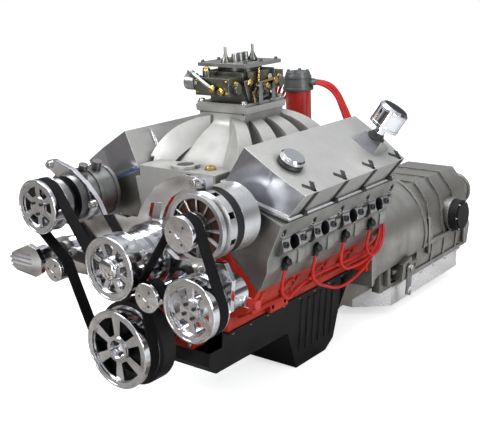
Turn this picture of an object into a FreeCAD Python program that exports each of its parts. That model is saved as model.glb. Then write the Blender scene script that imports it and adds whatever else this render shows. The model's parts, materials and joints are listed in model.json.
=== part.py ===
import FreeCAD, Part
import math
import os
import Sketcher
from FreeCAD import Placement, Rotation, Vector

# A V8 engine with its automatic transmission, in millimetres.
# The crankshaft turns about the Y axis, the pulleys face -Y, +X is the engine's left side and +Z is up.
# The origin is on the crankshaft's axis, midway between the two side mounts of the block.

doc = FreeCAD.newDocument("engine")
sheet = doc.addObject("Spreadsheet::Sheet", "Dims")


class Size(float):
    """A number from the sheet, or worked out from it, that remembers its formula."""

    def __new__(cls, amount, formula):
        made = float.__new__(cls, amount)
        made.formula = formula
        return made

    def __add__(self, other):
        return Size(float(self) + float(other), "(%s + %s)" % (self.formula, formula_of(other)))

    def __radd__(self, other):
        return Size(float(other) + float(self), "(%s + %s)" % (formula_of(other), self.formula))

    def __sub__(self, other):
        return Size(float(self) - float(other), "(%s - %s)" % (self.formula, formula_of(other)))

    def __rsub__(self, other):
        return Size(float(other) - float(self), "(%s - %s)" % (formula_of(other), self.formula))

    def __mul__(self, other):
        return Size(float(self) * float(other), "(%s * %s)" % (self.formula, formula_of(other)))

    def __rmul__(self, other):
        return Size(float(other) * float(self), "(%s * %s)" % (formula_of(other), self.formula))

    def __truediv__(self, other):
        return Size(float(self) / float(other), "(%s / %s)" % (self.formula, formula_of(other)))

    def __neg__(self):
        return Size(-float(self), "(-1 * %s)" % self.formula)


def formula_of(amount):
    """The text of a size's formula, or of a plain number."""
    if isinstance(amount, Size):
        return amount.formula
    return "%.6f" % float(amount)


rows_used = [0]


def size(name, amount):
    """Writes a driving dimension into the sheet and returns it."""
    rows_used[0] += 1
    row = rows_used[0]
    sheet.set("A%d" % row, name)
    sheet.set("B%d" % row, str(amount))
    sheet.setAlias("B%d" % row, name)
    return Size(amount, "Dims." + name)


# Clearances used throughout.
running = size("running", 0.05)
apart = size("apart", 0.4)
gasket = size("gasket", 1.2)

# Block and what turns in it. Distances named _back are measured from the block's front face
# towards the transmission.
mount_back = size("mount_back", 180)
block_length = size("block_length", 546)
deck_height = size("deck_height", 249)
deck_half = size("deck_half", 85)
rail_half = size("rail_half", 146)
bore_radius = size("bore_radius", 54)
bore_spacing = size("bore_spacing", 123)
bank_stagger = size("bank_stagger", 22)
first_bore = size("first_bore", 72)
throw = size("throw", 50.8)
main_radius = size("main_radius", 35)
pin_radius = size("pin_radius", 28)
pin_length = size("pin_length", 56)
web_thick = size("web_thick", 16)
cam_height = size("cam_height", 131)
cam_radius = size("cam_radius", 25)
cap_thick = size("cap_thick", 20)
cap_depth = size("cap_depth", 48)
snout_radius = size("snout_radius", 22)
flange_radius = size("flange_radius", 46)
piston_low = size("piston_low", 138)
piston_length = size("piston_length", 62)
sprocket_pitch = size("sprocket_pitch", 28)
cover_depth = size("cover_depth", 46)
mount_bolt_y = size("mount_bolt_y", 50)
mount_bolt_z = size("mount_bolt_z", 30)
mount_rise = size("mount_rise", 30)
mount_bolt = size("mount_bolt", 5)
pad_proud = size("pad_proud", 16)

# Accessory drive: pulley centres (right of and above the crankshaft), rims, hubs and front faces.
belt_front = size("belt_front", -200)
belt_width = size("belt_width", 28)
belt_thick = size("belt_thick", 4.4)
rib_depth = size("rib_depth", 5.5)
groove_front = belt_front - 1
crank_rim = size("crank_rim", 91.5)
crank_hub = size("crank_hub", 30)
crank_face = size("crank_face", -216)
damper_front = size("damper_front", -168)
damper_radius = size("damper_radius", 100)
pump_rim = size("pump_rim", 73)
pump_drum = size("pump_drum", 66)
pump_hub = size("pump_hub", 27)
pump_up = size("pump_up", 192)
pump_face = size("pump_face", -220)
pump_barrel = size("pump_barrel", 62)
impeller_back = size("impeller_back", -66)
steer_rim = size("steer_rim", 69.4)
steer_hub = size("steer_hub", 25)
steer_out = size("steer_out", 227)
steer_up = size("steer_up", 142)
steer_face = size("steer_face", -218)
steer_boss = size("steer_boss", 26)
cooler_rim = size("cooler_rim", 64)
cooler_hub = size("cooler_hub", 24)
cooler_out = size("cooler_out", -236)
cooler_up = size("cooler_up", 296)
cooler_face = size("cooler_face", -210)
charger_rim = size("charger_rim", 38.7)
charger_hub = size("charger_hub", 16)
charger_out = size("charger_out", 205)
charger_up = size("charger_up", 300)
charger_face = size("charger_face", -208)
charger_body = size("charger_body", 74)
fan_radius = size("fan_radius", 72.7)
idler_rim = size("idler_rim", 33)
idler_out = size("idler_out", 100)
idler_up = size("idler_up", 142)
tension_rim = size("tension_rim", 28)
tension_out = size("tension_out", -198)
tension_up = size("tension_up", 150)
pivot_out = size("pivot_out", -272)
pivot_up = size("pivot_up", 158)
pivot_radius = size("pivot_radius", 12)
shaft_radius = size("shaft_radius", 9)
plate_front = size("plate_front", -134)
plate_thick = size("plate_thick", 12)
plate_bolt = size("plate_bolt", 5.2)
spacer_radius = size("spacer_radius", 11)

# Heads, valve covers, induction and ignition.
head_length = size("head_length", 506)
head_start = size("head_start", 3)
cover_in = size("cover_in", 143)
cover_up = size("cover_up", 350)
cover_tilt = size("cover_tilt", 22)
cover_width = size("cover_width", 171)
cover_wall = size("cover_wall", 4)
rail_gasket = size("rail_gasket", 4)
plug_recess = size("plug_recess", 15)
bolt_recess = size("bolt_recess", 10)
intake_port = size("intake_port", 21)
port_up = size("port_up", 306)
exhaust_port = size("exhaust_port", 18)
breather_neck = size("breather_neck", 13)
cap_neck = size("cap_neck", 20)
carb_back = size("carb_back", 262)
pad_up = size("pad_up", 491)
pad_half = size("pad_half", 80)
outlet_radius = size("outlet_radius", 21)
outlet_bolts = size("outlet_bolts", 66)
barrel_x = size("barrel_x", 24)
barrel_y = size("barrel_y", 26)
throat = size("throat", 20)
carb_stud_x = size("carb_stud_x", 131)
carb_stud_y = size("carb_stud_y", 143)
butterfly_shaft = size("butterfly_shaft", 5)
spark_back = size("spark_back", 510)
spark_stem = size("spark_stem", 14)
spark_body = size("spark_body", 34)
spark_seat = size("spark_seat", 332)
terminal_up = size("terminal_up", 508)
terminal_reach = size("terminal_reach", 46)
CAP_ANGLES = (6, 26, 46, 66, 114, 134, 154, 174)
lead_radius = size("lead_radius", 4)

# Oil pan and transmission. Distances named _behind are measured from the block's rear face.
pan_shallow = size("pan_shallow", 105)
pan_deep = size("pan_deep", 226)
pan_half = size("pan_half", 132)
plate_gap = size("plate_gap", 6)
bell_radius = size("bell_radius", 208)
bell_length = size("bell_length", 400)
ring_gear = size("ring_gear", 112)
case_behind = size("case_behind", 744)
tail_behind = size("tail_behind", 954)
gear_pan_half = size("gear_pan_half", 142)
gear_pan_behind = size("gear_pan_behind", 226)
gear_pan_length = size("gear_pan_length", 446)
gear_pan_low = size("gear_pan_low", 190)
gear_pan_tall = size("gear_pan_tall", 62)
servo_behind = size("servo_behind", 617)
servo_up = size("servo_up", 4)
lever_behind = size("lever_behind", 254)
lever_up = size("lever_up", -70)
lever_shaft = size("lever_shaft", 7)
output_radius = size("output_radius", 18)
case_end = block_length + case_behind
tail_end = block_length + tail_behind
gear_pan_front = block_length + gear_pan_behind
servo_back = block_length + servo_behind
lever_back = block_length + lever_behind

half_root = math.sqrt(0.5)
tilt = math.radians(float(cover_tilt))
SIDES = {"left": 1, "right": -1}
TURN = {
    "X": Rotation(Vector(0, 1, 0), 90),
    "Y": Rotation(Vector(1, 0, 0), -90),
    "Z": Rotation(),
}


def back(amount):
    """Turns a distance behind the block's front face into a place on the Y axis."""
    return amount - mount_back


def put(thing, at, turn=None):
    """Places an object, each coordinate tied to the sheet where it can be."""
    spot = Vector(float(at[0]), float(at[1]), float(at[2]))
    thing.Placement = Placement(spot, turn if turn is not None else Rotation())
    for axis, amount in zip("xyz", at):
        if isinstance(amount, Size):
            thing.setExpression("Placement.Base." + axis, amount.formula)
    return thing


def sized(thing, amounts):
    """Sets lengths and radii from a dictionary and ties them to the sheet."""
    for prop, amount in amounts.items():
        setattr(thing, prop, float(amount))
        if isinstance(amount, Size):
            thing.setExpression(prop, amount.formula)
    return thing


def turn_of(along):
    """The rotation that takes Z to a named axis or to a direction."""
    if isinstance(along, str):
        return TURN[along]
    return Rotation(Vector(0, 0, 1), Vector(*along))


def rod(radius, length, at, along="Z"):
    """A plain cylinder that starts at a point and runs along a direction."""
    made = doc.addObject("Part::Cylinder", "rod")
    sized(made, {"Radius": radius, "Height": length})
    return put(made, at, turn_of(along))


def cone(radius_a, radius_b, length, at, along="Z"):
    """A cone frustum that starts at a point with its first radius."""
    made = doc.addObject("Part::Cone", "cone")
    sized(made, {"Radius1": radius_a, "Radius2": radius_b, "Height": length})
    return put(made, at, turn_of(along))


def ring(outer, inner, length, at, along="Y"):
    """A plain tube."""
    return cut(rod(outer, length, at, along), rod(inner, length, at, along))


def block(width, depth, height, at, turn=None):
    """A box given by its size along X, Y and Z and its lowest corner."""
    made = doc.addObject("Part::Box", "block")
    sized(made, {"Length": width, "Width": depth, "Height": height})
    return put(made, at, turn)


def fuse(*things):
    """All the objects joined into one."""
    made = doc.addObject("Part::MultiFuse", "fuse")
    made.Shapes = list(things)
    made.Refine = True
    return made


def group(*things):
    """Separate solids kept side by side in one sub-part."""
    made = doc.addObject("Part::Compound", "group")
    made.Links = list(things)
    return made


def cut(base, *tools):
    """The base with the tools taken away."""
    made = doc.addObject("Part::Cut", "cut")
    made.Base = base
    made.Tool = tools[0] if len(tools) == 1 else group(*tools)
    return made


def common(base, tool):
    """What two objects share."""
    made = doc.addObject("Part::Common", "common")
    made.Base = base
    made.Tool = tool
    return made


def outline(sketch, points):
    """A closed outline of straight runs, each corner held by its two coordinates."""
    count = len(points)
    for index in range(count):
        start = points[index]
        end = points[(index + 1) % count]
        sketch.addGeometry(Part.LineSegment(Vector(start[0], start[1], 0), Vector(end[0], end[1], 0)), False)
    for index in range(count):
        sketch.addConstraint(Sketcher.Constraint("Coincident", index, 2, (index + 1) % count, 1))
    for index in range(count):
        for kind, amount in zip(("DistanceX", "DistanceY"), points[index]):
            place = sketch.addConstraint(Sketcher.Constraint(kind, -1, 1, index, 1, float(amount)))
            if isinstance(amount, Size):
                sketch.setExpression("Constraints[%d]" % place, amount.formula)


def prism(points, start, length, plane="XZ"):
    """A sketched outline pushed along the plane's own normal axis, from start for a length."""
    sketch = doc.addObject("Sketcher::SketchObject", "profile")
    if plane == "XZ":
        sketch.Placement = Placement(Vector(), Rotation(Vector(1, 0, 0), 90))
    elif plane == "YZ":
        sketch.Placement = Placement(Vector(), Rotation(Vector(1, 1, 1), 120))
    outline(sketch, points)
    made = doc.addObject("Part::Extrusion", "prism")
    made.Base = sketch
    made.DirMode = "Custom"
    made.Dir = {"XZ": Vector(0, 1, 0), "YZ": Vector(1, 0, 0), "XY": Vector(0, 0, 1)}[plane]
    made.Solid = True
    sized(made, {"LengthFwd": length})
    spot = {"XZ": (0, start, 0), "YZ": (start, 0, 0), "XY": (0, 0, start)}[plane]
    return put(made, spot)


def hexagon(radius, height, at, along):
    """A hexagon head or nut standing on a point."""
    made = doc.addObject("Part::Prism", "hex")
    made.Polygon = 6
    sized(made, {"Circumradius": radius, "Height": height})
    return put(made, at, turn_of(along))


parts = []


def name(thing, label):
    """Gives a sub-part its name and keeps it for writing."""
    thing.Label = label
    parts.append(thing)
    return thing


def shape_part(label, shape):
    """A sub-part whose shape is made directly, for forms that no feature fits."""
    made = doc.addObject("Part::Feature", "form")
    made.Shape = shape
    return name(made, label)


def on_bank(side, across, along):
    """A point of a cylinder bank: across it towards the outside, and along the bores."""
    return (side * (along + across) * half_root, (along - across) * half_root)


def bank_lead(side):
    """How far the right bank lies behind the left one."""
    return 0 if side > 0 else bank_stagger


def bank_bores(side):
    """How far back each of a bank's four bores lies. The left bank leads."""
    return [first_bore + bank_lead(side) + bore_spacing * index for index in range(4)]


def main_stations():
    """The five main bearings, halfway between the crank throws."""
    return [first_bore + bank_stagger / 2 + bore_spacing * (index - 0.5) for index in range(5)]


def engine_block():
    """Cast-iron block: two banks at a right angle, crankcase, webs and bell flange."""
    deck_in = on_bank(1, -deck_half, deck_height)
    deck_out = on_bank(1, deck_half, deck_height)
    hip = (deck_out[0] - 34, deck_out[1] - 58)
    half = [(rail_half, 0), (rail_half, 34), hip, deck_out, deck_in]
    walls = prism(half + [(-x, z) for x, z in reversed(half)], back(0), block_length)
    flange = prism([(-198, 0), (198, 0), (198, 60), (150, 150), (-150, 150), (-198, 60)],
                   back(block_length - 14), 14)
    solids = [walls, flange]
    tools = [prism([(-88, deck_in[1] + 1), (-62, 160), (62, 160), (88, deck_in[1] + 1)], back(40),
                   block_length - 80)]
    crankcase = prism([(-112, -1), (-112, 30), (-78, 97), (78, 97), (112, 30), (112, -1)], back(12),
                      block_length - 24)
    webs = [block(226, cap_thick, 99, (-113, back(station) - cap_thick / 2,
                                       0)) for station in main_stations()]
    tools.append(cut(crankcase, *webs))
    for side in SIDES.values():
        for place in bank_bores(side):
            start = on_bank(side, 0, 64)
            tools.append(rod(bore_radius, deck_height, (start[0], back(place), start[1]), (side, 0, 1)))
        low = rail_half - 4 if side > 0 else -rail_half - pad_proud
        solids.append(block(pad_proud + 4, 74, 56, (low, -37, 2)))
        niche = rail_half + pad_proud if side > 0 else -rail_half - pad_proud - 60
        tools.append(block(60, 74, 56, (niche, -37, 2)))
        for dy in (-mount_bolt_y / 2, mount_bolt_y / 2):
            for z in (mount_bolt_z - mount_rise / 2, mount_bolt_z + mount_rise / 2):
                deep = rail_half - 6 if side > 0 else -rail_half - pad_proud - 2
                tools.append(rod(mount_bolt, pad_proud + 8, (deep, dy, z), "X"))
        for gap in range(3):
            core = back(first_bore + bank_lead(side) + bore_spacing * (gap + 0.5))
            solids.append(rod(24, 8, (side * 172, core, 82), (side, 0, -0.55)))
            tools.append(rod(20, 14, (side * 177, core, 79), (side, 0, -0.55)))
    tools.append(rod(main_radius + running, block_length + 2, (0, back(-1), 0), "Y"))
    tools.append(rod(cam_radius + running, block_length - 9, (0, back(-1), cam_height), "Y"))
    tools.append(rod(spark_stem, deck_height, (0, back(spark_back), cam_height + cam_radius), "Z"))
    return name(cut(fuse(*solids), *tools), "engine_block")


def main_caps():
    """Five caps that hold the crankshaft up in the block. The rear one runs to the block's end."""
    caps = []
    for station in main_stations():
        start = back(station) - cap_thick / 2
        rear = station > main_stations()[3]
        thick = block_length - station + cap_thick / 2 if rear else cap_thick
        cap = block(120, thick, cap_depth, (-60, start, -cap_depth))
        caps.append(cut(cap, rod(main_radius + running, thick + 2, (0, start - 1, 0), "Y")))
    return name(group(*caps), "main_caps")


def crankshaft():
    """Main journals, four throws a quarter turn apart with counterweights, snout, flange and sprocket."""
    stations = main_stations()
    half_journal = bore_spacing / 2 - pin_length / 2 - web_thick
    pieces = [rod(snout_radius, stations[0] - damper_front, (0, back(damper_front), 0), "Y")]
    for station in stations:
        pieces.append(rod(main_radius, half_journal * 2, (0, back(station) - half_journal, 0), "Y"))
    for index, quarter in enumerate((0, 90, 270, 180)):
        middle = back(stations[index] + bore_spacing / 2)
        angle = math.radians(quarter)
        pin_at = (throw * math.sin(angle), middle - pin_length / 2 - 2, throw * math.cos(angle))
        pieces.append(rod(pin_radius, pin_length + 4, pin_at, "Y"))
        web = [(-32, throw + 24), (32, throw + 24), (58, -20), (46, -78), (-46, -78), (-58, -20)]
        turned = [(x * math.cos(angle) + z * math.sin(angle),
                   z * math.cos(angle) - x * math.sin(angle)) for x, z in web]
        for start in (middle - pin_length / 2 - web_thick, middle + pin_length / 2):
            pieces.append(prism(turned, start, web_thick))
    pieces.append(rod(main_radius, block_length + 2 - stations[4], (0, back(stations[4]), 0), "Y"))
    pieces.append(rod(flange_radius, 10, (0, back(block_length) + 1, 0), "Y"))
    pieces.append(toothed(17, float(sprocket_pitch), 0))
    return name(fuse(*pieces), "crankshaft")


def pistons():
    """Eight pistons, hollow below, stopped halfway up the bores."""
    made = []
    for side in SIDES.values():
        low = on_bank(side, 0, piston_low)
        for place in bank_bores(side):
            skirt = rod(bore_radius - running, piston_length, (low[0], back(place), low[1]), (side, 0, 1))
            hollow = rod(bore_radius - 8, piston_length - 12, (low[0], back(place), low[1]), (side, 0, 1))
            made.append(cut(skirt, hollow))
    return name(group(*made), "pistons")


def camshaft():
    """Camshaft with five journals, eight lobes and a sprocket twice the size of the crankshaft's."""
    pieces = [rod(17, block_length - 30, (0, back(2), cam_height), "Y"),
              rod(cam_radius - 4, 24, (0, back(-22), cam_height), "Y")]
    for station in main_stations():
        pieces.append(rod(cam_radius, 22, (0, back(station) - 11, cam_height), "Y"))
    for index in range(8):
        angle = math.radians(45 + 135 * index)
        along = back(first_bore - 20 + bore_spacing / 2 * index)
        pieces.append(rod(18, 14, (5 * math.sin(angle), along, cam_height + 5 * math.cos(angle)), "Y"))
    pieces.append(toothed(34, 2 * float(sprocket_pitch), float(cam_height)))
    return name(fuse(*pieces), "camshaft")


def toothed(teeth, pitch_radius, at_height):
    """A chain sprocket: straight-sided teeth round a disc."""
    points = []
    for index in range(teeth):
        for part, rise in ((0.0, -2.6), (0.34, -2.6), (0.52, 1.8), (0.82, 1.8)):
            angle = 2 * math.pi * (index + part) / teeth
            radius = pitch_radius + rise
            points.append(Vector(radius * math.cos(angle), 0, at_height + radius * math.sin(angle)))
    wheel = doc.addObject("Part::Feature", "wheel")
    wheel.Shape = Part.Face(Part.makePolygon(points + points[:1])).extrude(Vector(0, 14, 0))
    return put(wheel, (0, back(-22), 0))


def flat(point):
    """A point of the belt's plane in space."""
    return Vector(point[0], 0, point[1])


def loop_wire(circles, shift):
    """Straight runs and arcs round circles (x, z, radius, turn), moved sideways by shift."""
    count = len(circles)
    runs = []
    for index in range(count):
        x1, z1, r1, turn1 = circles[index]
        x2, z2, r2, turn2 = circles[(index + 1) % count]
        r1 = r1 - turn1 * shift
        r2 = r2 - turn2 * shift
        offset = turn2 * r2 - turn1 * r1
        run = math.sqrt((x2 - x1) ** 2 + (z2 - z1) ** 2 - offset * offset)
        heading = math.atan2(z2 - z1, x2 - x1) - math.atan2(offset, run)
        normal = (-math.sin(heading), math.cos(heading))
        leave = (x1 - turn1 * r1 * normal[0], z1 - turn1 * r1 * normal[1])
        meet = (x2 - turn2 * r2 * normal[0], z2 - turn2 * r2 * normal[1])
        runs.append((leave, meet))
    edges = []
    for index in range(count):
        leave, meet = runs[index]
        edges.append(Part.LineSegment(flat(leave), flat(meet)).toShape())
        x, z, radius, turn = circles[(index + 1) % count]
        radius = radius - turn * shift
        begin = math.atan2(meet[1] - z, meet[0] - x)
        away = runs[(index + 1) % count][0]
        sweep = (math.atan2(away[1] - z, away[0] - x) - begin) * turn % (2 * math.pi)
        middle = begin + turn * sweep / 2
        top = (x + radius * math.cos(middle), z + radius * math.sin(middle))
        edges.append(Part.Arc(flat(meet), flat(top), flat(away)).toShape())
    return Part.Wire(edges)


def belt_solid(circles, thick, start, width):
    """A closed band of even thickness round the circles."""
    outer = Part.Face(loop_wire(circles, thick / 2))
    inner = Part.Face(loop_wire(circles, -thick / 2))
    band = outer.cut(inner) if outer.Area > inner.Area else inner.cut(outer)
    solid = band.extrude(Vector(0, width, 0))
    solid.translate(Vector(0, start, 0))
    return solid


def timing_chain():
    """Timing chain round the crank and cam sprockets."""
    circles = [(0, 0, sprocket_pitch + 4.4, -1), (0, cam_height, sprocket_pitch * 2 + 4.4, -1)]
    shape_part("timing_chain", belt_solid(circles, 4, back(-21), 12))


def timing_cover():
    """Front cover over the timing chain, open at the back, with the seal bore for the crank nose."""
    def face(grow):
        right = [(74, -44), (98, 24), (84, 168), (50, 212)]
        grown = [(x + grow, z + (grow if z > 100 else -grow)) for x, z in right]
        return [(-x, z) for x, z in grown] + list(reversed(grown))
    shell = prism(face(0), back(-cover_depth), cover_depth)
    room = prism(face(-5), back(-cover_depth) + 5, cover_depth)
    nose = rod(snout_radius + 14, 10, (0, back(-cover_depth) - 9, 0), "Y")
    bore = rod(snout_radius + running, 40, (0, back(-cover_depth) - 20, 0), "Y")
    return name(cut(fuse(shell, nose), room, bore), "timing_cover")


def oil_pan():
    """Black pan: shallow under the front, a deep sump at the back, with a rail all round."""
    def tub(grow):
        low = pan_shallow - grow
        deep = pan_deep - grow
        half = pan_half - grow
        side = [(back(-44) + grow, 6 * grow - 2), (back(-44) + grow, -low * 0.75), (back(-18) + grow, -low),
                (back(270) + grow, -low), (back(322) + grow, -deep), (back(462), -deep),
                (back(498) - grow, -deep + 26),
                (back(block_length) - 30 - grow, -118 + grow), (back(block_length) - 30 - grow, 6 * grow - 2)]
        taper = [(-half, 20), (half, 20), (half - 12, -96), (half - 32, -300), (-half + 32, -300),
                 (-half + 12, -96)]
        return common(prism(side, -half, half * 2, "YZ"), prism(taper, back(-60), block_length + 60))
    rail = block(rail_half * 2 + 8, block_length - 16, 6, (-rail_half - 4, back(2), -6 - gasket))
    lip = block(190, 48, 6, (-95, back(-44), -50 - apart))
    over_front = block(pan_half * 2 + 2, 62, 50, (-pan_half - 1, back(-60), -44 - apart))
    over_cap = block(121, 60, cap_depth + apart, (-60.5, back(main_stations()[4]) - 11, -cap_depth - apart))
    mouth = block(214, block_length - 56, 12, (-107, back(20), -11))
    return name(cut(fuse(cut(tub(0), over_front), rail, lip), cut(tub(3), over_front), mouth, over_cap),
                "oil_pan")


def oil_pump():
    """Oil pump under the rear main cap, with its pickup tube and screen in the sump."""
    front = back(main_stations()[4]) - cap_thick / 2
    foot = fuse(block(64, 8, 56, (-12, front, -cap_depth - 56)),
                block(64, 93, 14, (-12, front - 85, -cap_depth - 64)))
    body = block(64, 82, 36, (-12, front - 85, -cap_depth - 98))
    tube = rod(9, 64, (20, front - 66, -cap_depth - 156), "Z")
    screen = cone(30, 16, 22, (20, front - 66, -pan_deep + 12), "Z")
    return name(fuse(foot, body, tube, screen), "oil_pump")


def pulley(rim, at, face_front, hub, bore, windows=0, web=7, hub_proud=4, groove=None, wall=9):
    """A turned pulley: rim, belt groove, face web with windows cut through it, and hub.

    The body's own Z axis points backwards along the engine, from the rim's front edge.
    """
    body = doc.addObject("PartDesign::Body", "pulley")
    planes = {plane.Role: plane for plane in body.Origin.OriginFeatures}
    section = body.newObject("Sketcher::SketchObject", "section")
    section.AttachmentSupport = (planes["XZ_Plane"], "")
    section.MapMode = "FlatFace"
    drum = rim - rib_depth if groove is None else groove
    start = groove_front - face_front
    stop = start + belt_width + 2
    end = stop + 3
    inside = drum - wall
    face = hub_proud + 2
    outline(section, [
        (bore, 2), (hub, 2), (hub, face), (inside, face), (inside, 0.0), (rim, 0.0),
        (rim, start), (drum, start), (drum, stop), (rim - 1, stop),
        (rim - 1, end), (inside, end), (inside, face + web), (hub, face + web), (hub, end), (bore, end)])
    turned = body.newObject("PartDesign::Revolution", "turned")
    turned.Profile = section
    turned.ReferenceAxis = (section, ["V_Axis"])
    turned.Angle = 360
    if windows:
        opening = body.newObject("Sketcher::SketchObject", "window")
        opening.AttachmentSupport = (planes["XY_Plane"], "")
        opening.MapMode = "FlatFace"
        half = math.pi / windows * 0.68
        low = hub + 3
        high = inside - 2
        outline(opening, [
            (low * math.cos(half * 0.8), -low * math.sin(half * 0.8)),
                          (high * math.cos(half), -high * math.sin(half)),
            (high * 1.0, high * 0.0),
            (high * math.cos(half), high * math.sin(half)),
                          (low * math.cos(half * 0.8), low * math.sin(half * 0.8))])
        pocket = body.newObject("PartDesign::Pocket", "opening")
        pocket.Profile = opening
        pocket.Type = 1
        pocket.Midplane = True
        around = body.newObject("PartDesign::PolarPattern", "around")
        around.Originals = [pocket]
        around.Axis = (opening, ["N_Axis"])
        around.Angle = 360
        around.Occurrences = windows
        body.Tip = around
    return put(body, (at[0], back(face_front), at[1]), TURN["Y"])


def pulleys():
    """The windowed pulleys of the accessory drive, those of the accessories with their shafts."""
    name(pulley(crank_rim, (0.0, 0.0), crank_face, crank_hub, snout_radius, 6, web=9), "crank_pulley")
    pump = pulley(pump_rim, (0.0, pump_up), pump_face, pump_hub, shaft_radius, 8, groove=pump_drum)
    pump_shaft = rod(shaft_radius, impeller_back + 7 - pump_face - 2, (0, back(pump_face) + 2, pump_up), "Y")
    impeller = rod(32, 7, (0, back(impeller_back), pump_up), "Y")
    name(fuse(pump, pump_shaft, impeller), "water_pump_pulley")
    steer = pulley(steer_rim, (steer_out, steer_up), steer_face, steer_hub, shaft_radius, 6)
    steer_shaft = rod(shaft_radius, 142, (steer_out, back(steer_face) + 2, steer_up), "Y")
    name(fuse(steer, steer_shaft), "steering_pulley")
    cooler = pulley(cooler_rim, (cooler_out, cooler_up), cooler_face, cooler_hub, shaft_radius, 6)
    cooler_shaft = rod(shaft_radius, 150, (cooler_out, back(cooler_face) + 2, cooler_up), "Y")
    name(fuse(cooler, cooler_shaft), "compressor_pulley")
    name(pulley(charger_rim, (charger_out, charger_up), charger_face, charger_hub, shaft_radius,
                web=6, hub_proud=0.5, wall=6), "alternator_pulley")
    core = rod(48, 48, (charger_out, back(-112), charger_up), "Y")
    rotor_shaft = rod(shaft_radius, 168, (charger_out, back(charger_face) + 2, charger_up), "Y")
    name(fuse(rotor_shaft, core), "alternator_rotor")


def serpentine_belt():
    """One ribbed belt: inside round four pulleys, its back on the pump, idler and tensioner."""
    def ribbed(x, z, rim):
        return (x, z, rim - rib_depth + apart + belt_thick / 2, -1)

    def smooth(x, z, drum):
        return (x, z, drum + apart + belt_thick / 2, 1)
    circles = [ribbed(0, 0, crank_rim), smooth(tension_out, tension_up, tension_rim),
               ribbed(cooler_out, cooler_up, cooler_rim), smooth(0, pump_up, pump_drum),
               ribbed(charger_out, charger_up, charger_rim), ribbed(steer_out, steer_up, steer_rim),
               smooth(idler_out, idler_up, idler_rim - 4)]
    shape_part("serpentine_belt", belt_solid(circles, belt_thick, back(belt_front), belt_width))


def idler():
    """Smooth idler pulley, and the polished arm that holds its post on the plate."""
    drum = rod(idler_rim - 4, belt_width + 6, (idler_out, back(belt_front) - 3, idler_up), "Y")
    rim = rod(idler_rim, 5, (idler_out, back(belt_front) - 8, idler_up), "Y")
    bore = rod(shaft_radius + running, belt_width + 12, (idler_out, back(belt_front) - 2, idler_up), "Y")
    name(cut(fuse(drum, rim), bore), "idler_pulley")
    post = rod(shaft_radius, plate_front - belt_front, (idler_out, back(belt_front), idler_up), "Y")
    collar = rod(18, plate_front - belt_front - belt_width - 4,
                 (idler_out, back(belt_front) + belt_width + 4, idler_up), "Y")
    arm = prism([(idler_out - 52, idler_up - 34), (idler_out - 36, idler_up - 40),
                 (idler_out + 14, idler_up - 16),
                 (idler_out + 18, idler_up + 12), (idler_out - 6, idler_up + 18),
                 (idler_out - 50, idler_up - 18)],
                back(belt_front) + belt_width + 4, 10)
    foot = rod(11, plate_front - belt_front - belt_width - 4,
               (idler_out - 42, back(belt_front) + belt_width + 4, idler_up - 28), "Y")
    return name(fuse(post, collar, arm, foot), "idler_arm")


def tensioner():
    """Sprung belt tensioner: ribbed housing on its spindle, swinging arm and smooth pulley."""
    centre = (pivot_out, pivot_up)
    cover = [(-76, -20), (-58, -30), (12, -36), (34, -22), (38, 10), (22, 34), (-6, 42), (-66, 16), (-80, 2)]
    plate = prism([(pivot_out + x, pivot_up + z) for x, z in cover], back(-214), 12)
    ribs = [block(84, 6, 5, (pivot_out - 84, back(-214) - 2,
                             pivot_up - 19 + 11 * index)) for index in range(4)]
    barrel = rod(30, 34, (centre[0], back(-202), centre[1]), "Y")
    spindle = rod(pivot_radius, plate_front + 202, (centre[0], back(-202), centre[1]), "Y")
    name(cut(fuse(plate, barrel, spindle), *ribs), "tensioner_housing")
    lean = math.atan2(tension_up - pivot_up, tension_out - pivot_out)
    reach = math.hypot(tension_up - pivot_up, tension_out - pivot_out)
    corners = [(-16, -16), (reach, -14), (reach + 14, -6), (reach + 14, 6), (reach, 14), (-16, 16), (-24, 0)]
    turned = [(pivot_out + along * math.cos(lean) - up * math.sin(lean),
               pivot_up + along * math.sin(lean) + up * math.cos(lean))
              for along, up in corners]
    arm = fuse(prism(turned, back(-166), 10), rod(24, 16, (centre[0], back(-167), centre[1]), "Y"),
               rod(shaft_radius, -166 - belt_front, (tension_out, back(belt_front), tension_up), "Y"))
    name(cut(arm, rod(pivot_radius + running, 40, (centre[0], back(-180), centre[1]), "Y")), "tensioner_arm")
    drum = rod(tension_rim, belt_width + 6, (tension_out, back(belt_front) - 3, tension_up), "Y")
    bore = rod(shaft_radius + running, belt_width + 8, (tension_out, back(belt_front) - 1, tension_up), "Y")
    name(cut(drum, bore), "tensioner_pulley")


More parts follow.
